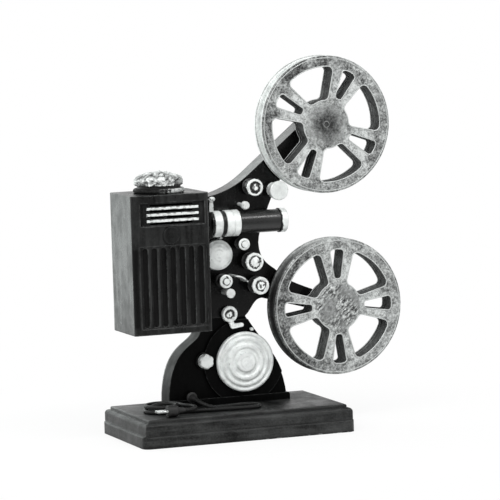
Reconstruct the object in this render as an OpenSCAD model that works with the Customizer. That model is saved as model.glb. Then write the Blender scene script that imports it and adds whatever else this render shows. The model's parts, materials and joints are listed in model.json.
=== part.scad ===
// Film projector on a moulded plinth, made of separate pieces.
// Sizes in millimetres. The origin is the centre of the plinth's underside,
// X runs along the lens axis, Y from front to back and Z up.
// Heights of all that stands on the plinth are measured from its top.

/* [Plinth] */
// Length of the plinth, left to right
plinth_l = 287; // [270:1:310]
// Depth of the plinth, front to back
plinth_d = 169; // [160:1:190]
// Height of the plinth
plinth_h = 35; // [30:1:42]
// Height of the plinth's lower tier
tier_h = 15.5; // [12:0.5:18]
// Inset of the upper tier
tier_in = 3; // [2:0.5:6]
// Radius of the plinth's upright corners
plinth_corner = 10; // [6:1:14]

/* [Casting] */
// Gap between a reel and the casting behind it
reel_back = 2.5; // [1.5:0.1:3.5]
// Depth of the casting without its rear covers
cast_d = 28; // [28:1:34]
// Wall of the casting
wall = 3.5; // [3:0.5:4.5]
// Thickness of the rear covers
cover_t = 3; // [2:0.5:4]
// Height of the joint between pedestal and mechanism housing
seam_z = 112; // [110:0.5:114]
// Left end of the pedestal's foot
foot_x0 = -74; // [-78:1:-70]
// Right end of the pedestal's foot
foot_x1 = 89; // [86:0.5:92]
// Height of the foot moulding
skirt_h = 9; // [6:0.5:12]
// Radius of the raised round field behind the dial
field_r = 55; // [50:1:58]

/* [Reels] */
// Outer radius of a reel
reel_r = 89; // [85:1:91]
// Width between the flanges, for 16 mm film
film_gap = 16.6; // [16.4:0.1:17.4]
// Thickness of a flange
flange_t = 6.5; // [5:0.1:7]
// Radius of the reel's hub
hub_r = 30; // [27:1:32]
// Width of a flange's rim, outside the windows
rim_w = 14; // [12:0.5:16]
// Depth of the film channel at the rim
channel_d = 6.5; // [5:0.5:8]
// Upper reel's axis, from the plinth's middle
upper_x = 141.8; // [139:0.2:144]
// Upper reel's axis above the plinth's top
upper_z = 356.5; // [354:0.5:359]
// Lower reel's axis, from the plinth's middle
lower_x = 151.8; // [149:0.2:154]
// Lower reel's axis above the plinth's top
lower_z = 119.4; // [117:0.2:121]
// Radius of a reel spindle
spindle_r = 4; // [3.5:0.25:4.5]

/* [Lamp house] */
// Left wall of the lamp house
lamp_x0 = -136.5; // [-139:0.5:-132]
// Right wall of the lamp house
lamp_x1 = -31; // [-32:0.5:-30]
// Front of the lamp house
lamp_y0 = -42; // [-45:1:-39]
// Back of the lamp house
lamp_y1 = 46; // [43:1:49]
// Underside of the lamp house
lamp_z0 = 103; // [101:0.5:105]
// Top of the lamp house
lamp_z1 = 280; // [277:0.5:284]
// Wall of the lamp house
lamp_wall = 2.5; // [2:0.5:3]
// Thickness of the lamp house front, which carries the panels
front_t = 6; // [5.5:0.5:8]
// Flutes in the lower panel
flutes = 7; // [5:1:8]
// Outer radius of the chimney ring
chimney_r = 33; // [31:0.5:35]

/* [Lens] */
// Height of the lens axis above the plinth's top
lens_z = 235.3; // [233:0.1:237]
// Radius of the lens barrel
barrel_r = 14.5; // [14:0.25:15]
// Length of the lens in front of the gate
lens_front = 86; // [82:1:90]
// Radius of the focusing ring
focus_r = 17; // [16.8:0.1:17.6]

/* [Mechanism] */
// Radius of a drive shaft
shaft_r = 3; // [2.5:0.25:3.25]
// Radius of a roller pin
pin_r = 2.5; // [2:0.25:3]
// Gear module
gear_m = 1; // [1:0.5:1]
// Teeth of the main gear
main_teeth = 24; // [24:1:24]
// Teeth of the idler gear
idler_teeth = 16; // [16:1:16]
// Teeth of a sprocket gear
sprocket_teeth = 32; // [32:1:32]
// Radius of the inching knob
inching_r = 20; // [18:0.5:21]
// Radius of the speed dial
dial_r = 39; // [36:0.5:40]
// Radius of the switch knob
switch_r = 9.5; // [8.5:0.5:10.5]

/* [Cord] */
// Radius of the mains cord
cord_r = 2.6; // [2.4:0.1:2.7]
// Rise of the cord's middle line over its own radius where it lies down
cord_lift = 0.2; // [0.1:0.1:0.4]

/* [Fits] */
// Radial clearance of a shaft in its bore
run_fit = 0.05; // [0.03:0.01:0.08]
// Side gap between a turning piece and the face behind it
side_gap = 0.4; // [0.3:0.1:0.6]
// Clearance between a belt and its groove
belt_gap = 0.3; // [0.3:0.05:0.4]

/* [Hidden] */
$fn = 64;
black = [0.09, 0.09, 0.10];
dark = [0.16, 0.16, 0.17];
silver = [0.82, 0.82, 0.83];
pewter = [0.52, 0.52, 0.53];
steel = [0.62, 0.63, 0.65];
brass = [0.72, 0.58, 0.30];
glass = [0.80, 0.88, 0.92, 0.45];
rubber = [0.05, 0.05, 0.05];
porcelain = [0.90, 0.89, 0.85];
eps = 0.01;

// Places of the shafts and rollers, as distances in X and Z
upper_hub = [upper_x, upper_z];
lower_hub = [lower_x, lower_z];
main_p = [-3, 194];
lower_dir = -13.4;
link_dir = -77;
main_pr = gear_m * main_teeth / 2;
idler_pr = gear_m * idler_teeth / 2;
sprocket_pr = gear_m * sprocket_teeth / 2;
idler_p = main_p + (main_pr + idler_pr) * [cos(lower_dir), sin(lower_dir)];
lower_p = idler_p + (idler_pr + sprocket_pr) * [cos(lower_dir), sin(lower_dir)];
take_p = lower_p + 2 * sprocket_pr * [cos(link_dir), sin(link_dir)];
feed_p = [43.2, 280];
snub_r = 12.4;
snub_gap = 4.1;
snub_dir = -128.6;
snub_p = upper_hub + (reel_r + snub_r + snub_gap) * [cos(snub_dir), sin(snub_dir)];
gate_roll_p = [27, 207.5];
loop_roll_p = [0.6, 161];
post_p = [5.5, 145.5];
guide_p = [30, 257.4];
lever_p = [10, 116.5];
dial_p = [29, 53.5];
switch_p = [-25, 57.5];
lens_p = [0, lens_z];

// Depths in Y
reel_y = film_gap / 2 + flange_t;
face_y = reel_y + reel_back;
rear_y = face_y + cast_d;
back_y = rear_y + cover_t;
inner_y = face_y + wall;
gear_y = inner_y + 1.7;
gear_w = 6;
gear_gap = 0.6;
feed_belt_y = gear_y + gear_w + 3.5;
motor_belt_y = feed_belt_y + 5.5;
take_belt_y = rear_y - 3.4;
belt_w = 2.4;
belt_t = 1.4;

// Belt radii, on the belt's middle line
main_feed_r = 4.5;
feed_belt_r = 6;
main_motor_r = 18;
motor_pulley_r = 6;
take_belt_r = 6;
spool_belt_r = 6;

// Plinth moulding: ledge round, height of the top edge and its round
ledge_r = 5;
edge_h = 4;
edge_r = 1.5;

// Lamp house details
lamp_cx = (lamp_x0 + lamp_x1) / 2;
lamp_cy = (lamp_y0 + lamp_y1) / 2;
louvre_z0 = lamp_z1 - 39;
louvre_z1 = lamp_z1 - 10;
louvre_end = 21;
louvre_pitch = 7.8;
panel_z0 = lamp_z0 + 8;
panel_z1 = lamp_z0 + 112;
badge_z = (panel_z1 + louvre_z0) / 2;
badge_r = (louvre_z0 - panel_z1) / 2 - 1.5;
chimney_bore = chimney_r - 6;
bulb_x = lamp_cx;
condenser_r = face_y - 1.5;

// Lamp sizes: socket, metal base and glass
socket_h = 52;
socket_r = 18;
base_r = 12.9;
base_h = 26;
base_z = lamp_z0 + 39;
bulb_r = 15.5;
bulb_h = 78;
bulb_t = 1.2;

// Points on a cubic curve, without its last point
function curve(a, b, c, d, n) =
    [for (i = [0:n - 1]) let (t = i / n, s = 1 - t)
        s * s * s * a + 3 * s * s * t * b + 3 * s * t * t * c + t * t * t * d];

// Points on an arc
function arc(c, r, a0, a1, n) =
    [for (i = [0:n]) let (a = a0 + (a1 - a0) * i / n) c + r * [cos(a), sin(a)]];

// Outline of the whole casting, seen from the front
waist = [34, seam_z];
throat = [58, seam_z + 22];
notch = [80, seam_z + 56];
flank = [55.5, seam_z + 94];
shoulder = [71, seam_z + 142];
brow = [49.6, seam_z + 187.3];
neck = [-45, 78];
upper_end_r = 14;
lower_end_r = 11;
lower_top = lower_hub + lower_end_r * [cos(66), sin(66)];
upper_low = upper_hub + upper_end_r * [cos(-50), sin(-50)];
outline = concat(
    [[foot_x0, 0], [foot_x1, 0]],
    curve([foot_x1 - 0.3, 2], [foot_x1 - 5.5, 60], [56, 72], waist, 12),
    curve(waist, [44, seam_z + 8], [46, seam_z + 22], throat, 8),
    [throat],
    arc(lower_hub, lower_end_r, -105, 66, 12),
    curve(lower_top, lower_top + 40 * [cos(156), sin(156)], [96, 150], notch, 8),
    curve(notch, [72, seam_z + 64], [56, seam_z + 68], flank, 8),
    curve(flank, [56, seam_z + 110], [66, seam_z + 128], shoulder, 6),
    curve(shoulder, [84, seam_z + 174], [112, seam_z + 212], upper_low, 8),
    arc(upper_hub, upper_end_r, -50, 129, 12),
    curve(brow, [34, seam_z + 174], [12, seam_z + 158], [lamp_x1, seam_z + 155], 10),
    [[lamp_x1, seam_z + 155], [lamp_x1, lamp_z0]],
    curve([lamp_x1 + 3, lamp_z0 - 3], [lamp_x1 + 3.5, 90], [-34, 86], neck, 8),
    curve(neck, [-62, 65.6], [foot_x0 + 1, 46], [foot_x0, 4], 10)
);

// Cover screw places in the casting
housing_screws = [[-23, seam_z + 9], [35, seam_z + 15], [-23, seam_z + 142], [62, seam_z + 150]];
pedestal_screws = [[-60, 12], [77, 12], [-22, 92]];
boss_r = 4;
screw_r = 1.6;
field_t = 4;
field_y = face_y - field_t;

// Solid cylinder along Y
module ycyl(p, r, y0, y1) {
    translate([p.x, y1, p.y])
        rotate([90, 0, 0])
            cylinder(r = r, h = y1 - y0);
}

// Flat shape in X and Z, thickened in Y
module slab(y0, y1) {
    translate([0, y1, 0])
        rotate([90, 0, 0])
            linear_extrude(y1 - y0)
                children();
}

// Turned piece about Y: the profile's X is the radius and its Y is -Y
module yturn(p) {
    translate([p.x, 0, p.y])
        rotate([90, 0, 0])
            rotate_extrude()
                children();
}

// Turned piece about X: the profile's X is the radius and its Y is X
module xturn(z) {
    translate([0, 0, z])
        rotate([0, 90, 0])
            rotate_extrude()
                children();
}

// Everything that stands on the plinth
module on_plinth() {
    translate([0, 0, plinth_h])
        children();
}

// Rounded rectangle with its own radius at each corner
module rounded(x0, x1, y0, y1, ra, rb, rc, rd) {
    polygon([[x0 + ra, y0], [x1 - rb, y0], [x1, y0 + rb], [x1, y1 - rc],
        [x1 - rc, y1], [x0 + rd, y1], [x0, y1 - rd], [x0, y0 + ra]]);
    translate([x0 + ra, y0 + ra]) circle(ra);
    translate([x1 - rb, y0 + rb]) circle(rb);
    translate([x1 - rc, y1 - rc]) circle(rc);
    translate([x0 + rd, y1 - rd]) circle(rd);
}

// Involute gear: half angle of a tooth at radius r
function involute(a) = tan(a) * 180 / PI - a;
function tooth_half(n, r) =
    let (rb = gear_m * n / 2 * cos(20), a = r > rb ? acos(rb / r) : 0)
    90 / n * 0.88 + involute(20) - involute(a);
function gear_points(n) =
    let (rp = gear_m * n / 2, rf = rp - 1.2 * gear_m, ra = rp + 0.9 * gear_m)
    let (rs = [rf, rp - 0.5 * gear_m, rp, rp + 0.45 * gear_m, ra])
    [for (i = [0:n - 1]) each concat(
        [for (r = rs) r * [cos(i * 360 / n - tooth_half(n, r)), sin(i * 360 / n - tooth_half(n, r))]],
        [for (k = [4:-1:0]) let (r = rs[k])
            r * [cos(i * 360 / n + tooth_half(n, r)), sin(i * 360 / n + tooth_half(n, r))]])];

// Turn of a gear that meshes with another one in the direction d
function mesh_turn(turn1, n1, n2, d) =
    d + 180 - (0.5 - (d - turn1) * n1 / 360) * 360 / n2;
main_turn = 0;
idler_turn = mesh_turn(main_turn, main_teeth, idler_teeth, lower_dir);
lower_turn = mesh_turn(idler_turn, idler_teeth, sprocket_teeth, lower_dir);
take_turn = mesh_turn(lower_turn, sprocket_teeth, sprocket_teeth, link_dir);

module gear(p, n, turn, bore) {
    difference() {
        translate([p.x, gear_y + gear_w, p.y])
            rotate([90, turn == 0 ? 0 : -turn, 0])
                linear_extrude(gear_w)
                    polygon(gear_points(n));
        ycyl(p, bore, gear_y - 1, gear_y + gear_w + 1);
    }
}

// Grooved pulley on a shaft, for a flat belt
module pulley(p, rc, y, bore) {
    root = rc - belt_t / 2 - belt_gap;
    half = belt_w / 2 + 0.5;
    yturn(p)
        polygon([[bore, -y - half - 0.8], [rc + 0.4, -y - half - 0.8], [rc + 0.4, -y - half], [root, -y - half],
            [root, -y + half], [rc + 0.4, -y + half], [rc + 0.4, -y + half + 0.8], [bore, -y + half + 0.8]]);
}

// Outline around two pulleys, with the radii r1 and r2
module belt_line(p1, r1, p2, r2) {
    a = atan2(p2.y - p1.y, p2.x - p1.x);
    g = acos((r1 - r2) / norm(p2 - p1));
    up = [cos(a + g), sin(a + g)];
    low = [cos(a - g), sin(a - g)];
    translate(p1) circle(r1);
    translate(p2) circle(r2);
    polygon([p1 + r1 * up, p1 + r1 * low, p2 + r2 * low, p2 + r2 * up]);
}

// Flat belt over two pulleys
module belt(p1, r1, p2, r2, y) {
    h = belt_t / 2;
    slab(y - belt_w / 2, y + belt_w / 2)
        difference() {
            belt_line(p1, r1 + h, p2, r2 + h);
            belt_line(p1, r1 - h, p2, r2 - h);
        }
}

// Plinth
module plinth_profile(w) {
    tier_round = tier_in - 0.5;
    ledge = plinth_h - edge_h;
    side = concat([[0, 0]],
        arc([tier_round, tier_h - tier_round], tier_round, 180, 90, 5),
        [[tier_in, tier_h]],
        arc([tier_in + ledge_r, ledge - ledge_r], ledge_r, 180, 90, 6),
        [[tier_in + ledge_r + 1, ledge]],
        arc([tier_in + ledge_r + 1 + edge_r, plinth_h - edge_r], edge_r, 180, 90, 3));
    polygon(concat([for (q = side) [q.x - w / 2, q.y]],
        [for (i = [len(side) - 1:-1:0]) [w / 2 - side[i].x, side[i].y]]));
}

module plinth() {
    color(black)
        intersection() {
            translate([0, plinth_d / 2, 0])
                rotate([90, 0, 0])
                    linear_extrude(plinth_d)
                        plinth_profile(plinth_l);
            translate([-plinth_l / 2, 0, 0])
                rotate([90, 0, 90])
                    linear_extrude(plinth_l)
                        plinth_profile(plinth_d);
            linear_extrude(plinth_h)
                rounded(-plinth_l / 2, plinth_l / 2, -plinth_d / 2, plinth_d / 2,
                    plinth_corner, plinth_corner, plinth_corner, plinth_corner);
        }
}

// Casting: pedestal below the seam, mechanism housing above it
module below_seam() {
    translate([-400, -10])
        square([400 + throat.x + 45, seam_z + 10]);
}

module above_seam() {
    translate([-400, seam_z])
        square([800, 600]);
    translate([throat.x + 45, 0])
        square([300, seam_z + 1]);
}

module casting_shell() {
    difference() {
        polygon(outline);
        offset(delta = -wall)
            polygon(outline);
    }
}

module pedestal() {
    color(black)
        on_plinth()
            difference() {
                union() {
                    slab(face_y, inner_y)
                        intersection() {
                            polygon(outline);
                            below_seam();
                        }
                    slab(inner_y, rear_y)
                        intersection() {
                            casting_shell();
                            below_seam();
                        }
                    slab(face_y - field_t, face_y)
                        intersection() {
                            polygon(outline);
                            union() {
                                translate(dial_p)
                                    circle(field_r);
                                translate(switch_p)
                                    circle(switch_r + 2);
                            }
                            below_seam();
                        }
                    slab(face_y - 6, face_y)
                        polygon([[foot_x0 - 2, 0], [foot_x1 + 2, 0], [foot_x1 + 2, skirt_h - 2],
                            [foot_x1, skirt_h], [foot_x0, skirt_h], [foot_x0 - 2, skirt_h - 2]]);
                    for (q = pedestal_screws)
                        ycyl(q, boss_r, inner_y, rear_y);
                }
                ycyl(dial_p, shaft_r + run_fit, 0, inner_y + 1);
                ycyl(switch_p, shaft_r + run_fit, 0, inner_y + 1);
                ycyl([relief_x, relief_z], relief_neck_r, 0, inner_y + 1);
                for (q = pedestal_screws)
                    ycyl(q, screw_r, rear_y - 12, rear_y + 1);
            }
}

module pedestal_back() {
    color(black)
        on_plinth()
            difference() {
                slab(rear_y, back_y)
                    intersection() {
                        polygon(outline);
                        below_seam();
                    }
                ycyl(dial_p, shaft_r + run_fit, rear_y - 1, back_y + 1);
                for (q = pedestal_screws)
                    ycyl(q, screw_r, rear_y - 1, back_y + 1);
            }
}

module mechanism_housing() {
    color(black)
        on_plinth()
            difference() {
                union() {
                    slab(face_y, inner_y)
                        intersection() {
                            polygon(outline);
                            above_seam();
                        }
                    slab(inner_y, rear_y)
                        intersection() {
                            casting_shell();
                            above_seam();
                        }
                    ycyl(idler_p, pin_r + 2, inner_y, gear_y - side_gap);
                    ycyl(idler_p, pin_r, inner_y, gear_y + gear_w + 1);
                    for (q = housing_screws)
                        ycyl(q, boss_r, inner_y, rear_y);
                }
                for (q = [main_p, feed_p, lower_p, take_p, lever_p])
                    ycyl(q, shaft_r + run_fit, face_y - 1, inner_y + 1);
                for (q = [upper_hub, lower_hub])
                    ycyl(q, spindle_r + run_fit, face_y - 1, inner_y + 1);
                for (q = [snub_p, gate_roll_p, loop_roll_p, post_p, guide_p])
                    ycyl(q, pin_r, face_y - 1, inner_y + 1);
                ycyl(lower_p, sprocket_pr + gear_m + gear_gap, inner_y, gear_y + gear_w + gear_gap);
                for (q = housing_screws)
                    ycyl(q, screw_r, rear_y - 12, rear_y + 1);
            }
}

module rear_cover() {
    color(black)
        on_plinth()
            difference() {
                slab(rear_y, back_y)
                    intersection() {
                        polygon(outline);
                        above_seam();
                    }
                for (q = [main_p, feed_p, lower_p, take_p])
                    ycyl(q, shaft_r + run_fit, rear_y - 1, back_y + 1);
                for (q = [upper_hub, lower_hub])
                    ycyl(q, spindle_r + run_fit, rear_y - 1, back_y + 1);
                for (q = housing_screws)
                    ycyl(q, screw_r, rear_y - 1, back_y + 1);
            }
}

module cover_screws() {
    color(steel)
        on_plinth()
            for (q = concat(housing_screws, pedestal_screws))
                difference() {
                    union() {
                        ycyl(q, screw_r, rear_y - 11, back_y + 0.5);
                        ycyl(q, 3.2, back_y, back_y + 2);
                    }
                    translate([q.x - 4, back_y + 1.2, q.y - 0.5])
                        cube([8, 2, 1]);
                }
}

// Lamp house
module lamp_house() {
    color(black)
        on_plinth()
            difference() {
                translate([0, 0, lamp_z0])
                    linear_extrude(lamp_z1 - lamp_z0)
                        rounded(lamp_x0, lamp_x1, lamp_y0, lamp_y1, 3, 8, 3, 6);
                translate([0, 0, lamp_z0 - 1])
                    linear_extrude(lamp_z1 - lamp_z0 - lamp_wall + 1)
                        rounded(lamp_x0 + lamp_wall, lamp_x1 - lamp_wall, lamp_y0 + front_t,
                            lamp_y1 - lamp_wall, 1, 3, 1, 3);
                translate([lamp_cx, lamp_cy, lamp_z1 - 10])
                    cylinder(r = chimney_bore, h = 20);
                translate([lamp_x0 + 12, lamp_y0 - 1, louvre_z0])
                    cube([lamp_x1 - lamp_x0 - 19.5, 4, louvre_z1 - louvre_z0]);
                for (k = [0:3])
                    translate([lamp_x0 + louvre_end + 4.5, lamp_y0 - 1, louvre_z0 + 1.2 + k * louvre_pitch])
                        cube([lamp_x1 - lamp_x0 - louvre_end - 26.5, front_t + 2, 2.6]);
                translate([lamp_x0 + 10, lamp_y0 - 1, panel_z0])
                    cube([lamp_x1 - lamp_x0 - 17, 2, panel_z1 - panel_z0]);
                for (k = [0:flutes - 1])
                    flute(lamp_x0 + 17 + k * (lamp_x1 - lamp_x0 - 31) / (flutes - 1));
                translate([lamp_x1 - 5, 0, lens_z])
                    rotate([0, 90, 0])
                        cylinder(r = condenser_r, h = 10);
            }
}

module flute(x) {
    slab(lamp_y0, lamp_y0 + 3.6) {
        translate([x - 3.4, panel_z0 + 5])
            square([6.8, panel_z1 - panel_z0 - 10]);
        translate([x, panel_z0 + 5])
            circle(3.4);
        translate([x, panel_z1 - 5])
            circle(3.4);
    }
}

module lamp_house_floor() {
    color(dark)
        on_plinth()
            difference() {
                translate([0, 0, lamp_z0])
                    linear_extrude(3)
                        rounded(lamp_x0 + lamp_wall, lamp_x1 - lamp_wall, lamp_y0 + front_t,
                            lamp_y1 - lamp_wall, 1, 3, 1, 3);
                for (a = [0:60:300])
                    translate([bulb_x + 28 * cos(a), 28 * sin(a) + 2, lamp_z0 - 1])
                        cylinder(r = 4, h = 5);
            }
}

module louvre_bars() {
    color(silver)
        on_plinth()
            for (k = [0:2])
                translate([lamp_x0 + louvre_end, lamp_y0 + 0.6, louvre_z0 + 4.7 + k * louvre_pitch])
                    cube([lamp_x1 - lamp_x0 - louvre_end - 15.5, 2.4, 3.2]);
}

module badge_disc() {
    color(dark)
        on_plinth()
            yturn([lamp_cx, badge_z])
                polygon([[0, -lamp_y0], [badge_r, -lamp_y0], [badge_r, -lamp_y0 + 1],
                    [badge_r - 0.6, -lamp_y0 + 1.5], [badge_r - 1.8, -lamp_y0 + 1.5],
                    [badge_r - 2.2, -lamp_y0 + 0.9], [0, -lamp_y0 + 0.9]]);
}

module chimney_ring() {
    color(silver)
        on_plinth()
            translate([lamp_cx, lamp_cy, lamp_z1])
                rotate_extrude() {
                    translate([chimney_bore, 0])
                        square([chimney_r - chimney_bore - 3, 6]);
                    translate([chimney_r - 3, 3])
                        circle(3);
                }
}

module vent_cap() {
    top = 27;
    color(silver)
        on_plinth()
            translate([lamp_cx, lamp_cy, lamp_z1])
                rotate_extrude()
                    polygon(concat([[0, 6], [chimney_bore - 3, 6], [chimney_bore - 3, -lamp_wall],
                        [chimney_bore - 0.5, -lamp_wall], [chimney_bore - 0.5, 6],
                        [chimney_bore + 1, 6], [chimney_bore + 1, 9.5], [chimney_r - 1.5, 9.5]],
                        arc([chimney_r - 7.5, 15.5], 6, 0, 60, 4),
                        arc([0, top - 70], 70, 70, 90, 6)));
}

// Lamp and light path
module lamp_socket() {
    color(porcelain)
        on_plinth()
            translate([bulb_x, 0, lamp_z0 + 3])
                rotate_extrude()
                    polygon([[0, 0], [socket_r - 2, 0], [socket_r - 2, 5], [socket_r / 2, 8],
                        [socket_r / 2, socket_h / 2], [socket_r, socket_h / 2 + 4], [socket_r, socket_h],
                        [base_r, socket_h], [base_r, base_z - lamp_z0 - 3], [0, base_z - lamp_z0 - 3]]);
}

module lamp_base() {
    color(brass)
        on_plinth()
            translate([bulb_x, 0, base_z])
                rotate_extrude()
                    polygon([[0, 0], [base_r - 1.4, 0], [base_r, 1.4], [base_r, base_h - 2],
                        [base_r - 1.9, base_h], [0, base_h]]);
}

module lamp_bulb() {
    color(glass)
        on_plinth()
            translate([bulb_x, 0, base_z + base_h])
                rotate_extrude()
                    polygon(concat([[0, 0], [base_r - 1.9, 0], [bulb_r, 8]],
                        arc([0, bulb_h], bulb_r, 0, 90, 8), arc([0, bulb_h], bulb_r - bulb_t, 90, 0, 8),
                        [[bulb_r - bulb_t, 8.3], [base_r - 2.5, bulb_t], [0, bulb_t]]));
}

module lamp_reflector() {
    color(silver)
        on_plinth() {
            translate([0, 0, lens_z])
                rotate([0, 90, 0])
                    rotate_extrude()
                        polygon(concat(
                            [for (i = [0:8]) let (a = 3.2 * i) [44 * sin(a), bulb_x - 44 * cos(a) + 14]],
                            [for (i = [8:-1:0]) let (a = 3.2 * i) [45.5 * sin(a), bulb_x - 45.5 * cos(a) + 14]]));
            translate([bulb_x - 31, 0, lamp_z0 + 3])
                cylinder(r = 2.5, h = lens_z - lamp_z0 - 8);
            translate([bulb_x - 31, 0, lamp_z0 + 3])
                cylinder(r = 6, h = 3);
        }
}

module condenser_tube() {
    color(steel)
        on_plinth()
            xturn(lens_z)
                polygon([[condenser_r - 2, lamp_x1 - 22], [condenser_r, lamp_x1 - 22], [condenser_r, lamp_x1 - 5],
                    [condenser_r + 2.5, lamp_x1 - 5], [condenser_r + 2.5, lamp_x1 - lamp_wall],
                    [condenser_r, lamp_x1 - lamp_wall], [condenser_r, lamp_x1 + 4],
                    [condenser_r - 2, lamp_x1 + 4]]);
}

module condenser_lenses() {
    color(glass)
        on_plinth()
            xturn(lens_z) {
                lens_section(lamp_x1 - 20, condenser_r - 2, 5, 1);
                lens_section(lamp_x1 - 4, condenser_r - 2, 5, -1);
            }
}

// Half section of a plano-convex lens: flat side at y, dome of height h towards s
module lens_section(y, r, h, s) {
    ball = (r * r + h * h) / (2 * h);
    reach = asin(r / ball);
    polygon(concat([[0, y], [r, y], [r, y + s * 2]],
        [for (i = [7:-1:0]) let (a = reach * i / 8)
            [ball * sin(a), y + s * (2 + h - ball + ball * cos(a))]]));
}

gate_x = -22;
gate_t = 4;
gate_half = 13;
gate_top = 33;
latch_h = 16;
mount_x = -15;
collar_r = face_y - 0.3;
module film_gate() {
    color(black)
        on_plinth()
            difference() {
                union() {
                    translate([gate_x, -gate_half, lens_z - 17])
                        cube([gate_t, gate_half + face_y, gate_top + 17]);
                    xturn(lens_z)
                        polygon([[sleeve_r + 1, gate_x + gate_t], [collar_r, gate_x + gate_t],
                            [collar_r, mount_x], [sleeve_r + 1, mount_x]]);
                }
                translate([gate_x - 1, -5.2, lens_z - 3.8])
                    cube([gate_t + 2, 10.4, 7.6]);
                translate([gate_x + gate_t - 0.3, -8.1, lens_z - 20])
                    cube([0.9, 16.2, 60]);
            }
}

module fixed_studs() {
    color(silver)
        on_plinth() {
            translate([gate_x, -gate_half - 1.6, lens_z + gate_top - latch_h])
                cube([gate_t + 1.5, 1.6, latch_h]);
            stud([-9, lens_z + gate_top - 1.5], face_y, 2, 2.7, 12);
            stud([-0.7, lens_z - 18.6], face_y, 1.8, 2.3, 14);
            stud(dial_p + (dial_r + 4) * [cos(76), sin(76)], field_y, 1.6, 2.2, 7);
        }
}

// Stud with a head, standing l out of the face at y
module stud(p, y, stem, head, l) {
    yturn(p)
        polygon([[0, -y], [stem, -y], [stem, l / 2 - y], [head, l / 2 - y], [head, l - 1 - y],
            [head - 0.8, l - y], [0, l - y]]);
}

// Lens
sleeve_r = barrel_r + run_fit;
sleeve_out = sleeve_r + 1.1;
module lens_mount() {
    color(silver)
        on_plinth() {
            xturn(lens_z)
                polygon([[sleeve_r, mount_x], [focus_r - 1, mount_x], [focus_r, mount_x + 1], [focus_r, -4.5],
                    [focus_r - 1, -3.5], [sleeve_out, -3.5], [sleeve_out, 22], [sleeve_r, 22]]);
            difference() {
                translate([mount_x, 8, lens_z - 6])
                    cube([10, face_y - 8, 12]);
                translate([mount_x - 1, 0, lens_z])
                    rotate([0, 90, 0])
                        cylinder(r = sleeve_out, h = 12);
            }
        }
}

module focus_ring() {
    color(silver)
        on_plinth()
            xturn(lens_z)
                polygon([[sleeve_out + run_fit, 2], [focus_r - 0.8, 2], [focus_r, 2.8], [focus_r, 10],
                    [focus_r - 0.7, 10.7], [focus_r - 0.7, 12.3], [focus_r, 13], [focus_r, 20.2],
                    [focus_r - 0.8, 21], [sleeve_out + run_fit, 21]]);
}

barrel_end = lens_front - 10;
module lens_barrel() {
    color(black)
        on_plinth()
            xturn(lens_z)
                polygon([[barrel_r - 2, -9], [barrel_r, -9], [barrel_r, barrel_end],
                    [barrel_r - 1, barrel_end], [barrel_r - 1, barrel_end + 3], [barrel_r - 2, barrel_end + 3]]);
}

module lens_front_ring() {
    color(silver)
        on_plinth()
            xturn(lens_z)
                polygon([[barrel_r - 1, barrel_end], [barrel_r + 0.6, barrel_end], [barrel_r + 1.2, barrel_end + 0.6],
                    [barrel_r + 1.2, lens_front - 1], [barrel_r + 0.2, lens_front], [barrel_r - 0.8, lens_front],
                    [barrel_r - 2, lens_front - 3], [barrel_r - 2, barrel_end + 3], [barrel_r - 1, barrel_end + 3]]);
}

module lens_glass() {
    color(glass)
        on_plinth()
            xturn(lens_z) {
                lens_section(barrel_end - 3, barrel_r - 2, 3, 1);
                lens_section(-2, barrel_r - 2, 3, -1);
            }
}

// Reels
module window_large() {
    offset(r = 7, $fn = 24)
        offset(delta = -7)
            intersection() {
                difference() {
                    circle(reel_r - rim_w, $fn = 96);
                    circle(hub_r + 1, $fn = 72);
                }
                polygon([[6, 0], [60, -30], [200, -108], [200, 108], [60, 30]]);
            }
}

module window_slot() {
    offset(r = 4, $fn = 24)
        offset(delta = -4)
            polygon([[hub_r + 6, -4.6], [hub_r + 6, 4.6], [reel_r - rim_w - 3, 10], [reel_r - rim_w - 0.5, 6],
                [reel_r - rim_w, 0], [reel_r - rim_w - 0.5, -6], [reel_r - rim_w - 3, -10]]);
}

// All windows of a reel, grown by g
module windows(turn, g) {
    offset(delta = g)
        for (k = [0:3]) {
            rotate(turn + 45 + 90 * k)
                window_large();
            rotate(turn + 90 * k)
                window_slot();
        }
}

module flange(p, y0, y1, turn) {
    difference() {
        union() {
            ycyl(p, reel_r - flange_t / 2, y0, y1);
            translate([p.x, (y0 + y1) / 2, p.y])
                rotate([90, 0, 0])
                    rotate_extrude()
                        translate([reel_r - flange_t / 2, 0])
                            circle(flange_t / 2);
        }
        translate([p.x, 0, p.y])
            translate([0, y1 + 1, 0])
                rotate([90, 0, 0])
                    linear_extrude(y1 - y0 + 2)
                        windows(turn, 0);
        ycyl(p, spindle_r, y0 - 5, y1 + 5);
    }
}

module reel_front(p, turn) {
    color(pewter)
        on_plinth()
            flange(p, -reel_y, -film_gap / 2, turn);
}

module reel_rear(p, turn) {
    color(pewter)
        on_plinth()
            flange(p, film_gap / 2, reel_y, turn);
}

module reel_core(p, turn) {
    color(pewter)
        on_plinth()
            difference() {
                ycyl(p, reel_r - channel_d, -film_gap / 2, film_gap / 2);
                translate([p.x, film_gap, p.y])
                    rotate([90, 0, 0])
                        linear_extrude(2 * film_gap)
                            windows(turn, window_gap);
                ycyl(p, spindle_r, -film_gap, film_gap);
            }
}

window_gap = 0.8;
upper_turn = 62;
lower_turn_reel = 0;
module upper_reel_front() {
    reel_front(upper_hub, upper_turn);
}

module upper_reel_rear() {
    reel_rear(upper_hub, upper_turn);
}

module upper_reel_core() {
    reel_core(upper_hub, upper_turn);
}

module lower_reel_front() {
    reel_front(lower_hub, lower_turn_reel);
}

module lower_reel_rear() {
    reel_rear(lower_hub, lower_turn_reel);
}

module lower_reel_core() {
    reel_core(lower_hub, lower_turn_reel);
}

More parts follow.
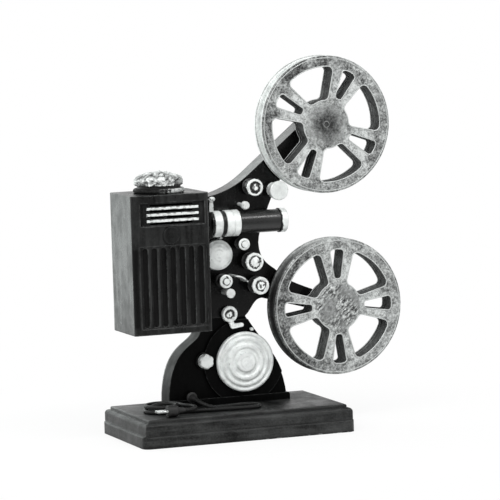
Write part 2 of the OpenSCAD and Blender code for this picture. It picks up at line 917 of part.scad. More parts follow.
spindle_end = 1.2;
module spindle(p) {
    ycyl(p, spindle_r, -reel_y - spindle_end, back_y);
    ycyl(p, spindle_r + 5, reel_y, face_y - side_gap);
}

module upper_spindle() {
    color(steel)
        on_plinth()
            spindle(upper_hub);
}

module lower_spindle() {
    color(steel)
        on_plinth() {
            spindle(lower_hub);
            pulley(lower_hub, spool_belt_r, take_belt_y, spindle_r - eps);
        }
}

// Drive
module inching_knob() {
    dome_r = inching_r - 0.6;
    dome_h = 4.4;
    ball = (dome_r * dome_r + dome_h * dome_h) / (2 * dome_h);
    color(silver)
        on_plinth() {
            yturn(main_p)
                polygon(concat([[0, -face_y + side_gap], [inching_r - 1, -face_y + side_gap],
                    [inching_r, -face_y + side_gap + 1], [inching_r, -face_y + 3]],
                    arc([0, -face_y + 8 + dome_h - ball], ball, acos(dome_r / ball), 90, 6)));
            ycyl(main_p, shaft_r, face_y - 2, back_y);
        }
}

module main_gear() {
    color(brass)
        on_plinth() {
            gear(main_p, main_teeth, main_turn, shaft_r);
            pulley(main_p, main_feed_r, feed_belt_y, shaft_r);
            pulley(main_p, main_motor_r, motor_belt_y, shaft_r);
        }
}

module idler_gear() {
    color(brass)
        on_plinth()
            gear(idler_p, idler_teeth, idler_turn, pin_r + run_fit);
}

// Toothed film sprocket with its shaft
module sprocket(p, r) {
    yturn(p)
        polygon([[0, -face_y + side_gap], [r - 4, -face_y + side_gap], [r - 4, -9], [r, -9], [r, -7.6],
            [r - 1.4, -7], [r - 1.4, 7], [r, 7.6], [r, 9.5], [r - 0.8, 10.3], [r - 3, 10.3], [r - 3.6, 9.2],
            [r - 5, 9.2], [r - 5.6, 10.3], [0, 10.3]]);
    for (k = [0:7], y = [-6.2, 6.2])
        translate([p.x, y, p.y])
            rotate([0, 45 * k, 0])
                translate([r - 3, -0.6, -0.7])
                    cube([3.3, 1.2, 1.4]);
    ycyl(p, shaft_r, face_y - 2, back_y);
}

module feed_sprocket() {
    color(silver)
        on_plinth() {
            sprocket(feed_p, 10.8);
            pulley(feed_p, feed_belt_r, feed_belt_y, shaft_r - eps);
        }
}

module lower_sprocket() {
    color(silver)
        on_plinth()
            sprocket(lower_p, 11.8);
}

module lower_gear() {
    color(brass)
        on_plinth()
            gear(lower_p, sprocket_teeth, lower_turn, shaft_r);
}

module take_up_sprocket() {
    color(silver)
        on_plinth()
            sprocket(take_p, 11.4);
}

module take_up_gear() {
    color(brass)
        on_plinth() {
            gear(take_p, sprocket_teeth, take_turn, shaft_r);
            pulley(take_p, take_belt_r, take_belt_y, shaft_r);
        }
}

module feed_belt() {
    color(rubber)
        on_plinth()
            belt(main_p, main_feed_r, feed_p, feed_belt_r, feed_belt_y);
}

module motor_belt() {
    color(rubber)
        on_plinth()
            belt(dial_p, motor_pulley_r, main_p, main_motor_r, motor_belt_y);
}

module take_up_belt() {
    color(rubber)
        on_plinth()
            belt(take_p, take_belt_r, lower_hub, spool_belt_r, take_belt_y);
}

motor_r = 34;
motor_l = 33;
module motor_can() {
    color(dark)
        on_plinth()
            difference() {
                yturn(dial_p)
                    polygon([[shaft_r + run_fit, -back_y], [motor_r, -back_y], [motor_r, -back_y - motor_l + 3],
                        [motor_r - 3, -back_y - motor_l], [9, -back_y - motor_l], [9, -back_y - motor_l - 2],
                        [shaft_r + run_fit, -back_y - motor_l - 2]]);
                for (a = [0:45:315])
                    translate([dial_p.x, back_y + motor_l - 2, dial_p.y])
                        rotate([0, a, 0])
                            translate([15, 0, -2])
                                cube([13, 5, 4]);
            }
}

module motor_rotor() {
    color(steel)
        on_plinth() {
            ycyl(dial_p, shaft_r, inner_y + 4, back_y + motor_l + 1);
            pulley(dial_p, motor_pulley_r, motor_belt_y, shaft_r - eps);
        }
}

// Rollers, pins and guides on the front
module roller_pins() {
    color(steel)
        on_plinth() {
            ycyl(snub_p, pin_r, -6, inner_y);
            for (q = [gate_roll_p, loop_roll_p]) {
                ycyl(q, pin_r, -9, inner_y);
                ycyl(q, pin_r + 1.4, -10, -8);
            }
        }
}

module film_guides() {
    color(silver)
        on_plinth() {
            slab(-7, face_y)
                intersection() {
                    translate([14, 146])
                        difference() {
                            circle(21.8);
                            circle(20);
                        }
                    polygon([[14, 146], [11, 190], [40, 190], [40, 166]]);
                }
            ycyl(post_p, pin_r, face_y, inner_y);
            ycyl(post_p, 4, -6, face_y);
            ycyl(post_p, 6, -10, -6);
            ycyl(guide_p, pin_r, -2, inner_y);
            yturn(guide_p)
                polygon([[0, 2], [4.2, 2], [5.4, 4], [5.4, 8], [4.2, 10], [0, 10]]);
        }
}

module roller(p, r) {
    yturn(p)
        polygon([[pin_r + run_fit, -face_y + side_gap], [r - 2, -face_y + side_gap], [r - 2, -9.5], [r, -9],
            [r, -7.8], [r - 1.4, -7.2], [r - 1.4, 5], [r, 5.6], [r, 7], [r - 0.8, 7.7], [pin_r + run_fit, 7.7]]);
}

module gate_roller() {
    color(silver)
        on_plinth()
            roller(gate_roll_p, 7.6);
}

module loop_roller() {
    color(silver)
        on_plinth()
            roller(loop_roll_p, 8.8);
}

module snub_roller() {
    r = snub_r;
    color(silver)
        on_plinth()
            yturn(snub_p)
                polygon([[pin_r + run_fit, -face_y + side_gap], [r - 5, -face_y + side_gap], [r - 5, -9], [r - 2, -8.4],
                    [r - 3, -7], [r - 3, 5.5], [r, 6.5], [r, 10.4], [r - 0.8, 11.2], [0, 11.2],
                    [0, 6 + side_gap], [pin_r + run_fit, 6 + side_gap]]);
}

// Controls
module speed_dial() {
    f = field_y - side_gap;
    r = dial_r;
    color(silver)
        on_plinth() {
            yturn(dial_p)
                polygon([[0, -f], [r - 1, -f], [r, -f + 1], [r, -f + 5], [r - 1.5, -f + 6.5], [r - 3.5, -f + 6.5],
                    [r - 4.5, -f + 5.5], [r - 6.5, -f + 5.5], [r - 7.5, -f + 7.5], [r - 10.5, -f + 7.5],
                    [r - 11.5, -f + 6], [r - 14.5, -f + 6], [r - 15.5, -f + 8.5], [r - 20, -f + 8.5],
                    [r - 21, -f + 7], [r - 25, -f + 7], [r - 26, -f + 9.5], [0, -f + 10.5]]);
            ycyl(dial_p, shaft_r, f - 2, inner_y + 2);
        }
}

module switch_knob() {
    f = field_y - side_gap;
    color(silver)
        on_plinth() {
            difference() {
                yturn(switch_p)
                    polygon([[0, -f], [switch_r, -f], [switch_r, -f + 8], [switch_r - 1.5, -f + 9.5], [0, -f + 10.5]]);
                for (a = [0:60:300])
                    ycyl(switch_p + (switch_r + 2.6) * [cos(a), sin(a)], 4, f - 12, f - 2);
            }
            ycyl(switch_p, shaft_r, f - 2, inner_y + 2);
        }
}

module clutch_lever() {
    y1 = field_y - side_gap;
    y0 = y1 - 5;
    ring_r = 10.4;
    color(silver)
        on_plinth() {
            yturn(lever_p)
                polygon([[0, -face_y + side_gap], [7, -face_y + side_gap], [7, -y1], [ring_r, -y1], [ring_r, -y0 - 0.5],
                    [ring_r - 0.8, -y0 + 0.8], [ring_r - 3.6, -y0 + 0.8], [ring_r - 4.4, -y0 - 0.8], [0, -y0 - 0.8]]);
            ycyl(lever_p, shaft_r, face_y - 2, inner_y + 2);
            slab(y0 + 0.5, y1 - 0.5)
                difference() {
                    union() {
                        polygon([lever_p + [-2.6, -6], lever_p + [3.8, -6], lever_p + [6.2, -15], lever_p + [1, -17]]);
                        polygon([lever_p + [3.6, -13], lever_p + [16, -12.2], lever_p + [16, -17.4], lever_p + [3.6, -19]]);
                        translate(lever_p + [3.6, -16])
                            circle(3);
                        translate(lever_p + [16, -14.8])
                            circle(2.6);
                    }
                    translate(lever_p)
                        circle(4);
                }
        }
}

// Mains cord
relief_x = -45;
relief_z = 12;
relief_neck_r = 5;
lie_z = cord_r + cord_lift;
coil_c = [-94, -14];
coil_r = 24;
coil_pitch = 2 * cord_r + 0.8;
coil_step = 2 * cord_r + 0.6;
layer_turns = 1.125;
climb_turns = 0.5;
all_turns = 2 * layer_turns + climb_turns;
tail_z = lie_z + coil_step;
plug_r = 7.5;
plug_l = 25;
pin_l = 14;
plug_x = -79;
plug_y = -60;
plug_z = plug_r + 0.2;
lead_points = [[relief_x, -6, relief_z], [relief_x, -12, relief_z - 1], [-42, -21, 8], [-33, -27, lie_z + 1],
    [-20, -28, lie_z], [0, -24, lie_z], [12, -22, lie_z], [24, -26, lie_z], [29, -37, lie_z], [24, -47, lie_z],
    [12, -51, lie_z], [-5, -49, lie_z], [-25, -46, lie_z], [-45, -43, lie_z], [-68, -40, lie_z],
    [coil_c.x + 7, coil_c.y - coil_r, lie_z], [coil_c.x, coil_c.y - coil_r, lie_z]];
tail_points = [[coil_c.x + coil_r, coil_c.y, tail_z], [coil_c.x + coil_r, coil_c.y - 7, tail_z],
    [-67.5, -30.5, tail_z + 0.3], [-63, -40, tail_z + 0.5], [-62, -49, tail_z + 0.3], [-66, -56, tail_z - 0.4],
    [plug_x + 6, plug_y, plug_z], [plug_x, plug_y, plug_z]];

// Smooth line through points, with n steps between neighbours
function through(p, i, t) =
    let (m = len(p) - 1, a = p[max(i - 1, 0)], b = p[i], c = p[min(i + 1, m)], d = p[min(i + 2, m)])
    0.5 * (2 * b + (c - a) * t + (2 * a - 5 * b + 4 * c - d) * t * t + (3 * b - a - 3 * c + d) * t * t * t);
function route(p, n) = concat([for (i = [0:len(p) - 2], k = [0:n - 1]) through(p, i, k / n)], [p[len(p) - 1]]);

// Two-layer loose coil: in on the lower layer, up in half a turn, out on the upper one
function coil_radius(t) =
    t < layer_turns + climb_turns / 2 ? coil_r - coil_pitch * t : coil_r - coil_pitch * (all_turns - t);
function coil_rise(t) =
    let (s = min(1, max(0, (t - layer_turns) / climb_turns))) lie_z + coil_step * s * s * (3 - 2 * s);
coil_steps = 24;
coil_route = [for (i = [0:all_turns * coil_steps]) let (t = i / coil_steps, a = -90 - 360 * t)
    [coil_c.x + coil_radius(t) * cos(a), coil_c.y + coil_radius(t) * sin(a), coil_rise(t)]];
coil_gap = min([for (i = [0:len(coil_route) - 1], j = [i + 10:1:len(coil_route) - 1])
    norm(coil_route[i] - coil_route[j])]) - 2 * cord_r;
echo(coil_gap = coil_gap);

// Round tube along a route that never stands upright, with square ends
function unit(v) = v / norm(v);
function along(p, i, first, last) =
    i == 0 ? first : i == len(p) - 1 ? last : unit(p[i + 1] - p[i - 1]);
module tube(p, r, n, first, last) {
    rings = [for (i = [0:len(p) - 1]) let (t = along(p, i, first, last), s = unit(cross(t, [0, 0, 1])), u = cross(s, t))
        [for (k = [0:n - 1]) p[i] + r * (cos(360 * k / n) * s + sin(360 * k / n) * u)]];
    m = len(p) - 1;
    polyhedron(
        points = [for (ring = rings) each ring],
        faces = concat([[for (k = [0:n - 1]) k]], [[for (k = [n - 1:-1:0]) m * n + k]],
            [for (i = [0:m - 1], k = [0:n - 1]) let (l = (k + 1) % n)
                each [[i * n + k, (i + 1) * n + k, (i + 1) * n + l], [i * n + k, (i + 1) * n + l, i * n + l]]]));
}

cord_sides = 10;
forward = [0, -1, 0];
leftward = [-1, 0, 0];
lead_route = route(lead_points, 3);
tail_route = route(tail_points, 3);
module cord_lead() {
    color(rubber)
        on_plinth()
            tube(lead_route, cord_r, cord_sides, forward, leftward);
}

module cord_coil() {
    color(rubber)
        on_plinth()
            tube(coil_route, cord_r, cord_sides, leftward, forward);
}

module cord_tail() {
    color(rubber)
        on_plinth()
            tube(tail_route, cord_r, cord_sides, forward, leftward);
}

module strain_relief() {
    color(rubber)
        on_plinth()
            yturn([relief_x, relief_z])
                polygon([[0, -inner_y - 2], [relief_neck_r, -inner_y - 2], [relief_neck_r, -face_y + 6],
                    [relief_neck_r + 2, -face_y + 6], [relief_neck_r + 2, -face_y + 8], [relief_neck_r, -face_y + 9],
                    [cord_r + 0.4, 5], [cord_r, 6], [0, 6]]);
}

module plug_body() {
    color(rubber)
        on_plinth()
            translate([0, plug_y, 0])
                xturn(plug_z)
                    polygon([[0, plug_x], [cord_r, plug_x], [cord_r + 0.6, plug_x - 1], [4.6, plug_x - 9],
                        [5.4, plug_x - 10], [plug_r, plug_x - 13], [plug_r, plug_x - plug_l + 1],
                        [plug_r - 1, plug_x - plug_l], [0, plug_x - plug_l]]);
}

module plug_pins() {
    color(steel)
        on_plinth()
            for (s = [-1, 1])
                translate([0, plug_y + s * 4, 0])
                    xturn(plug_z)
                        polygon([[0, plug_x - plug_l], [2, plug_x - plug_l], [2, plug_x - plug_l - pin_l + 1],
                            [1.2, plug_x - plug_l - pin_l], [0, plug_x - plug_l - pin_l]]);
}

plinth();
pedestal();
pedestal_back();
mechanism_housing();
rear_cover();
cover_screws();
lamp_house();
lamp_house_floor();
louvre_bars();
badge_disc();
chimney_ring();
vent_cap();
lamp_socket();
lamp_base();
lamp_bulb();
lamp_reflector();
condenser_tube();
condenser_lenses();
film_gate();
fixed_studs();
lens_mount();
focus_ring();
lens_barrel();
lens_front_ring();
lens_glass();
upper_reel_front();
upper_reel_rear();
upper_reel_core();
upper_spindle();
lower_reel_front();
lower_reel_rear();
lower_reel_core();
lower_spindle();
inching_knob();
main_gear();
idler_gear();
feed_sprocket();
lower_sprocket();
lower_gear();
take_up_sprocket();
take_up_gear();
feed_belt();
motor_belt();
take_up_belt();
motor_can();
motor_rotor();
roller_pins();
film_guides();
gate_roller();
loop_roller();
snub_roller();
speed_dial();
switch_knob();
clutch_lever();
strain_relief();
cord_lead();
cord_coil();
cord_tail();
plug_body();
plug_pins();
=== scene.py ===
import json
import math

import bmesh
import bpy
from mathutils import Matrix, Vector, noise


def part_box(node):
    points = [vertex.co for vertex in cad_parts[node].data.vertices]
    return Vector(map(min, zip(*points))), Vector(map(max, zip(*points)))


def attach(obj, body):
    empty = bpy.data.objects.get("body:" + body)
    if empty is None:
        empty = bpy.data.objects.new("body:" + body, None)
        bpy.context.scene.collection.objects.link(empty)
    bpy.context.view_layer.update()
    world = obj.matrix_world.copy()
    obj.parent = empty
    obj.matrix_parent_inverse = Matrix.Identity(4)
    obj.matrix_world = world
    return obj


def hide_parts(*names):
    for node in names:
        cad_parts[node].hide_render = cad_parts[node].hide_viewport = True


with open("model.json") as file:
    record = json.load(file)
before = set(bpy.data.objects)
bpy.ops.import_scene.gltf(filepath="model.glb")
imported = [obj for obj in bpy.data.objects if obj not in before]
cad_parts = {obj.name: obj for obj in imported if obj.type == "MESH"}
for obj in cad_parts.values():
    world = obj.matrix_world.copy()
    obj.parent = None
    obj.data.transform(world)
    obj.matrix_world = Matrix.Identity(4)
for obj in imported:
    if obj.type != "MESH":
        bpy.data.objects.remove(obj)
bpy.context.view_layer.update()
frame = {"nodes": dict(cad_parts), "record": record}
NODES = frame["nodes"]
scene = bpy.context.scene
scene.view_settings.view_transform = "Standard"

# Sizes and places shared with the CAD source: millimetres, with heights above the plinth's top
PLINTH_H = 35.0
CORD_R = 2.6
UPPER_HUB = (141.8, 356.5)
LOWER_HUB = (151.8, 119.4)
DIAL = (29.0, 53.5)
KNOB = (-3.0, 194.0)
LEVER = (10.0, 116.5)
FEED_SPROCKET = (43.2, 280.0)
LOWER_SPROCKET = (39.8, 183.8)
TAKE_UP_SPROCKET = (47.0, 152.6)
GATE_ROLLER = (27.0, 207.5)
LOOP_ROLLER = (0.6, 161.0)
FULL_TURN = 2 * math.pi


def mm(length):
    """Millimetres as Blender's metres."""
    return length / 1000.0


def at(x, y, z):
    """A place in the CAD source's millimetres, measured from the plinth's top."""
    return Vector((x, y, z + PLINTH_H)) / 1000.0


# Camera at the photograph's angle: degrees, metres, and pixels of the photograph's frame
FRAME_PX = 500.0
AZIMUTH, ELEVATION, ROLL = -20.0, 5.20, -1.80
FOCAL_PX = 3214.0
DISTANCE = 4.154
AIM = Vector((0.0, 0.030, 0.253))
AIM_PX = (214.5, 235.2)
SENSOR_MM = 36.0
CLIP_NEAR, CLIP_FAR = 0.1, 60.0


def make_camera():
    a, e, roll = math.radians(AZIMUTH), math.radians(ELEVATION), math.radians(ROLL)
    back = Vector((math.sin(a) * math.cos(e), -math.cos(a) * math.cos(e), math.sin(e)))
    level = Vector((math.cos(a), math.sin(a), 0.0))
    upright = back.cross(level)
    right = math.cos(roll) * level + math.sin(roll) * upright
    up = -math.sin(roll) * level + math.cos(roll) * upright
    across = right * (FRAME_PX / 2 - AIM_PX[0]) / FOCAL_PX
    drop = up * (FRAME_PX / 2 - AIM_PX[1]) / FOCAL_PX
    look = (-back + across - drop).normalized()
    side = look.cross(up).normalized()
    top = side.cross(look)
    eye = AIM + back * DISTANCE
    cam = bpy.data.cameras.new("camera")
    cam.sensor_fit = "HORIZONTAL"
    cam.sensor_width = SENSOR_MM
    cam.lens = FOCAL_PX * SENSOR_MM / FRAME_PX
    cam.clip_start, cam.clip_end = CLIP_NEAR, CLIP_FAR
    obj = bpy.data.objects.new("camera", cam)
    scene.collection.objects.link(obj)
    m = obj.matrix_world
    for i in range(3):
        m[i][0], m[i][1], m[i][2], m[i][3] = side[i], top[i], -look[i], eye[i]
    obj.matrix_world = m
    scene.camera = obj


make_camera()


# Node building blocks
AO_SAMPLES = 8
BEVEL_SAMPLES = 6


class Tree:
    """The emptied node tree of a material or world, with short helpers."""

    def __init__(self, owner):
        owner.use_nodes = True
        self.nodes = owner.node_tree.nodes
        self.links = owner.node_tree.links
        self.nodes.clear()

    def node(self, kind, inputs=None, **props):
        n = self.nodes.new(kind)
        for key, value in props.items():
            setattr(n, key, value)
        for key, value in (inputs or {}).items():
            if isinstance(value, bpy.types.NodeSocket):
                self.links.new(value, n.inputs[key])
            else:
                n.inputs[key].default_value = value
        return n

    def math(self, op, a, b=0.5):
        return self.node("ShaderNodeMath", {0: a, 1: b}, operation=op).outputs["Value"]

    def times(self, first, *others):
        for other in others:
            first = self.math("MULTIPLY", first, other)
        return first

    def plus(self, a, b):
        return self.math("ADD", a, b)

    def minus(self, a, b):
        return self.math("SUBTRACT", a, b)

    def most(self, a, b):
        return self.math("MAXIMUM", a, b)

    def size(self, a):
        return self.math("ABSOLUTE", a)

    def vector(self, op, a, b=(0.0, 0.0, 0.0), result="Vector"):
        return self.node("ShaderNodeVectorMath", {0: a, 1: b}, operation=op).outputs[result]

    def part(self, vector, axis):
        return self.node("ShaderNodeSeparateXYZ", {"Vector": vector}).outputs[axis]

    def span(self, value, low, high, start=0.0, end=1.0):
        """start up to low, end beyond high, smooth between; low may also be above high."""
        inputs = {"Value": value, "From Min": low, "From Max": high, "To Min": start, "To Max": end}
        return self.node("ShaderNodeMapRange", inputs, interpolation_type="SMOOTHSTEP").outputs["Result"]

    def blend(self, *parts):
        """A weighted sum of (socket, weight) pairs."""
        total = None
        for socket, weight in parts:
            piece = self.times(socket, weight)
            total = piece if total is None else self.plus(total, piece)
        return total


class Mat(Tree):
    """A material with a Principled surface, patterned in the object's own coordinates."""

    def __init__(self, name):
        self.mat = bpy.data.materials.new(name)
        super().__init__(self.mat)
        self.bsdf = self.node("ShaderNodeBsdfPrincipled")
        self.node("ShaderNodeOutputMaterial", {"Surface": self.bsdf.outputs["BSDF"]})
        self.coord = self.node("ShaderNodeTexCoord").outputs["Object"]

    def set(self, **values):
        """Constants on the shader's own sockets."""
        for key, value in values.items():
            self.bsdf.inputs[key.replace("_", " ")].default_value = value
        return self

    def feed(self, key, socket):
        self.links.new(socket, self.bsdf.inputs[key])
        return self

    def colour(self, socket):
        return self.feed("Base Color", socket)

    def rough(self, socket):
        return self.feed("Roughness", socket)

    def bump(self, height, strength, distance, soft=0.0):
        """Relief from a height; soft rounds the shading of the edges by that radius."""
        inputs = {"Height": height, "Strength": strength, "Distance": distance}
        if soft:
            bevel = self.node("ShaderNodeBevel", {"Radius": soft}, samples=BEVEL_SAMPLES)
            inputs["Normal"] = bevel.outputs["Normal"]
        return self.feed("Normal", self.node("ShaderNodeBump", inputs).outputs["Normal"])

    def noise(self, scale, detail=4.0, rough=0.55, distort=0.0, vector=None):
        inputs = {"Scale": scale, "Detail": detail, "Roughness": rough, "Distortion": distort,
                  "Vector": vector or self.coord}
        return self.node("ShaderNodeTexNoise", inputs).outputs["Fac"]

    def stretched(self, x, y, z):
        """Object coordinates scaled apart, so that a noise runs in streaks."""
        return self.vector("MULTIPLY", self.coord, (x, y, z))

    def axis(self, name):
        return self.part(self.coord, name)

    def radius(self, centre):
        """Distance in metres from the Y-wise axis through a point in the CAD source's millimetres."""
        off = self.vector("SUBTRACT", self.coord, at(centre[0], 0, centre[1]))
        return self.vector("LENGTH", self.vector("MULTIPLY", off, (1, 0, 1)), result="Value")

    def ramp(self, fac, *stops):
        """A colour ramp through (place, grey level or colour) stops."""
        n = self.node("ShaderNodeValToRGB", {"Fac": fac})
        elements = n.color_ramp.elements
        while len(elements) < len(stops):
            elements.new(0.5)
        for element, (place, tone) in zip(elements, stops):
            element.position = place
            element.color = (tone, tone, tone, 1.0) if isinstance(tone, (int, float)) else (*tone, 1.0)
        return n.outputs["Color"]

    def mix(self, fac, a, b):
        n = self.node("ShaderNodeMix", data_type="RGBA")
        for socket, value in ((n.inputs["Factor"], fac), (n.inputs["A"], a), (n.inputs["B"], b)):
            if isinstance(value, bpy.types.NodeSocket):
                self.links.new(value, socket)
            elif socket.type == "RGBA":
                socket.default_value = (*value, 1.0)
            else:
                socket.default_value = value
        return n.outputs["Result"]

    def edges(self, distance):
        """About 1 on outer edges and 0 on flat faces and in corners."""
        ao = self.node("ShaderNodeAmbientOcclusion", {"Distance": distance}, samples=AO_SAMPLES,
                       inside=True, only_local=True)
        return self.ramp(ao.outputs["AO"], (0.55, 1.0), (0.93, 0.0))

    def crevice(self, distance):
        """About 1 in corners and grooves and 0 on open faces."""
        ao = self.node("ShaderNodeAmbientOcclusion", {"Distance": distance}, samples=AO_SAMPLES)
        return self.ramp(ao.outputs["AO"], (0.40, 1.0), (0.90, 0.0))

    def walls(self):
        """1 on faces that run along Y, 0 on faces across it."""
        normal = self.node("ShaderNodeNewGeometry").outputs["Normal"]
        return self.span(self.size(self.part(normal, "Y")), 0.62, 0.42)


# Materials
TINT = (0.965, 1.0, 0.985)
RUBBED = 0.14
# Tone of the silver's grooves: patina, and painted shade
GROOVE_PATINA_AND_SHADE = 0.05
SILVER_BLACK = 0.010
MASK_EDGE = 0.0004
RING_PITCH = 0.0046


def grey(value):
    """The photograph's faintly green grey."""
    return tuple(value * t for t in TINT)


def black_paint(name, low, high, wear, along, ior=1.36, shine=0.5, soft=0.0009, rub_width=0.0013,
                paint=None, satin=(0.36, 0.50), relief=0.22):
    """Satin black over a casting, streaked along one direction.

    low and high are its tones, wear says how far edges of rub_width are rubbed, satin gives the lowest
    and highest roughness, soft rounds the edges' shading, and paint adds what one node has on top."""
    m = Mat(name).set(Metallic=0.0, IOR=ior, Specular_IOR_Level=shine)
    cloud = m.noise(24.0, detail=6.0, rough=0.65)
    streak = m.noise(120.0, detail=5.0, rough=0.62, vector=m.stretched(*along))
    fine = m.noise(560.0, detail=3.0, rough=0.6)
    tone = m.blend((cloud, 0.36), (streak, 0.42), (fine, 0.22))
    base = m.mix(m.ramp(tone, (0.40, 0.0), (0.62, 1.0)), grey(low), grey(high))
    if wear:
        patchy = m.ramp(m.noise(110.0, detail=5.0, rough=0.7), (0.40, 0.0), (0.66, 1.0))
        base = m.mix(m.times(m.edges(rub_width), patchy, wear), base, grey(RUBBED))
    if paint:
        base = paint(m, base)
    # Darker in corners and grooves by an occlusion mask: painted shade.
    m.colour(m.mix(m.times(m.crevice(0.008), 0.8), base, grey(low * 0.3)))
    broad = m.noise(50.0, detail=4.0, rough=0.6)
    specks = m.noise(330.0, detail=4.0, rough=0.7)
    sheen = m.blend((broad, 0.40), (streak, 0.45), (specks, 0.15))
    m.rough(m.ramp(sheen, (0.42, satin[0]), (0.58, satin[1])))
    return m.bump(m.blend((streak, 0.5), (fine, 0.5)), relief, 0.0005, soft).mat


def silver(name, value, tarnish_and_shade, dark=None, turned=None, soft=0.0006, nicks=0.0, rings=0.22):
    """Satin silver paint in brushed patches, with dull spots, and patina and painted shade in the grooves.

    dark masks what stays black, turned is the axis of lathe rings of strength rings, and nicks tears
    the paint off the edges."""
    m = Mat(name).set(Metallic=0.35)
    patch = m.noise(85.0, detail=6.0, rough=0.65, distort=0.3)
    fine = m.noise(900.0, detail=3.0, rough=0.6)
    base = m.mix(m.ramp(patch, (0.40, 0.0), (0.66, 1.0)), grey(value), grey(value * 0.76))
    spots = m.span(m.noise(260.0, detail=4.0, rough=0.7), 0.60, 0.72)
    base = m.mix(m.times(spots, 0.55), base, grey(value * 0.40))
    height = fine
    if turned:
        wander = m.times(m.noise(45.0, detail=3.0, rough=0.5), 0.006)
        wave = m.math("SINE", m.times(m.plus(m.radius(turned), wander), FULL_TURN / RING_PITCH))
        ring = m.times(m.plus(wave, 1.0), m.span(m.noise(70.0, detail=4.0, rough=0.6), 0.40, 0.62))
        base = m.mix(m.times(ring, rings), base, grey(value * 0.50))
        height = m.blend((fine, 0.5), (ring, 0.5))
    # Darker in grooves and corners by an occlusion mask: patina, and painted shade.
    base = m.mix(m.times(m.crevice(0.003), tarnish_and_shade), base, grey(GROOVE_PATINA_AND_SHADE))
    if nicks:
        bits = m.span(m.noise(170.0, detail=5.0, rough=0.65), 0.70 - nicks, 0.74 - nicks)
        base = m.mix(m.times(m.edges(0.0018), bits, 0.92), base, grey(0.015))
    if dark:
        base = m.mix(dark(m), base, grey(SILVER_BLACK))
    m.colour(base)
    m.rough(m.ramp(patch, (0.3, 0.34), (0.7, 0.50)))
    return m.bump(height, 0.14, 0.0003, soft).mat


def beyond(axis, place):
    """Dark mask for what lies past a place on an axis, in millimetres."""
    return lambda m: m.span(m.axis(axis), mm(place), mm(place) + MASK_EDGE)


def torn_left(node, width):
    """Dark mask with a torn edge over the leftmost millimetres of a node."""
    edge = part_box(node)[0][0] + mm(width)

    def mask(m):
        wander = m.times(m.minus(m.noise(150.0, detail=5.0, rough=0.7), 0.5), 0.010)
        return m.span(m.plus(m.axis("X"), wander), edge + 0.0005, edge - 0.0005)

    return mask


def painted_disc(name, centre, groove, width, bare, back=-6.6):
    """Front of a roller or sprocket: silver brushed by hand over black.

    The groove, of a radius and half width in millimetres, part of the middle and what lies behind back
    stay black; the groove's black is paint left there and painted shade, and the black behind back is
    painted shade; bare says how much of the middle."""
    m = Mat(name).set(Metallic=0.30)
    out = m.radius(centre)
    stroke = m.noise(150.0, detail=5.0, rough=0.65, distort=0.6)
    fine = m.noise(700.0, detail=3.0, rough=0.6)
    loose = m.plus(out, m.times(m.minus(stroke, 0.5), 0.009))
    # Black in the groove: paint left there, and painted shade.
    black = m.span(m.size(m.minus(loose, mm(groove))), mm(width + 0.5), mm(width - 0.5))
    more = 0.16 * bare
    missed = m.span(m.noise(190.0, detail=4.0, rough=0.6, distort=0.5), 0.60 - more, 0.66 - more)
    middle = m.times(missed, m.span(out, mm(groove + 1.0), mm(groove - 1.0)))
    black = m.most(black, m.times(middle, 0.9))
    # Black behind the disc: painted shade.
    black = m.most(black, beyond("Y", back)(m))
    bright = m.mix(m.ramp(stroke, (0.40, 0.0), (0.64, 1.0)), grey(0.95), grey(0.62))
    m.colour(m.mix(black, bright, m.ramp(fine, (0.35, grey(0.006)), (0.70, grey(0.050)))))
    m.rough(m.ramp(stroke, (0.3, 0.36), (0.7, 0.54)))
    return m.bump(m.blend((stroke, 0.7), (fine, 0.3)), 0.30, 0.0007, 0.0006).mat


# Where the look of a reel changes: radii from its hub and half widths, in metres
HUB_FADE = (0.028, 0.006)
HUB_EDGE = (0.031, 0.024)
SPOKES_FROM = (0.028, 0.040)
SPOKES_TO = (0.074, 0.064)
FACE_RIM = (0.058, 0.070)
RIM_FROM = (0.0785, 0.0805)
RIM_INSIDE = (0.0805, 0.0785)
CHANNEL = (0.0100, 0.0085)
SHADE_FULL = 0.080


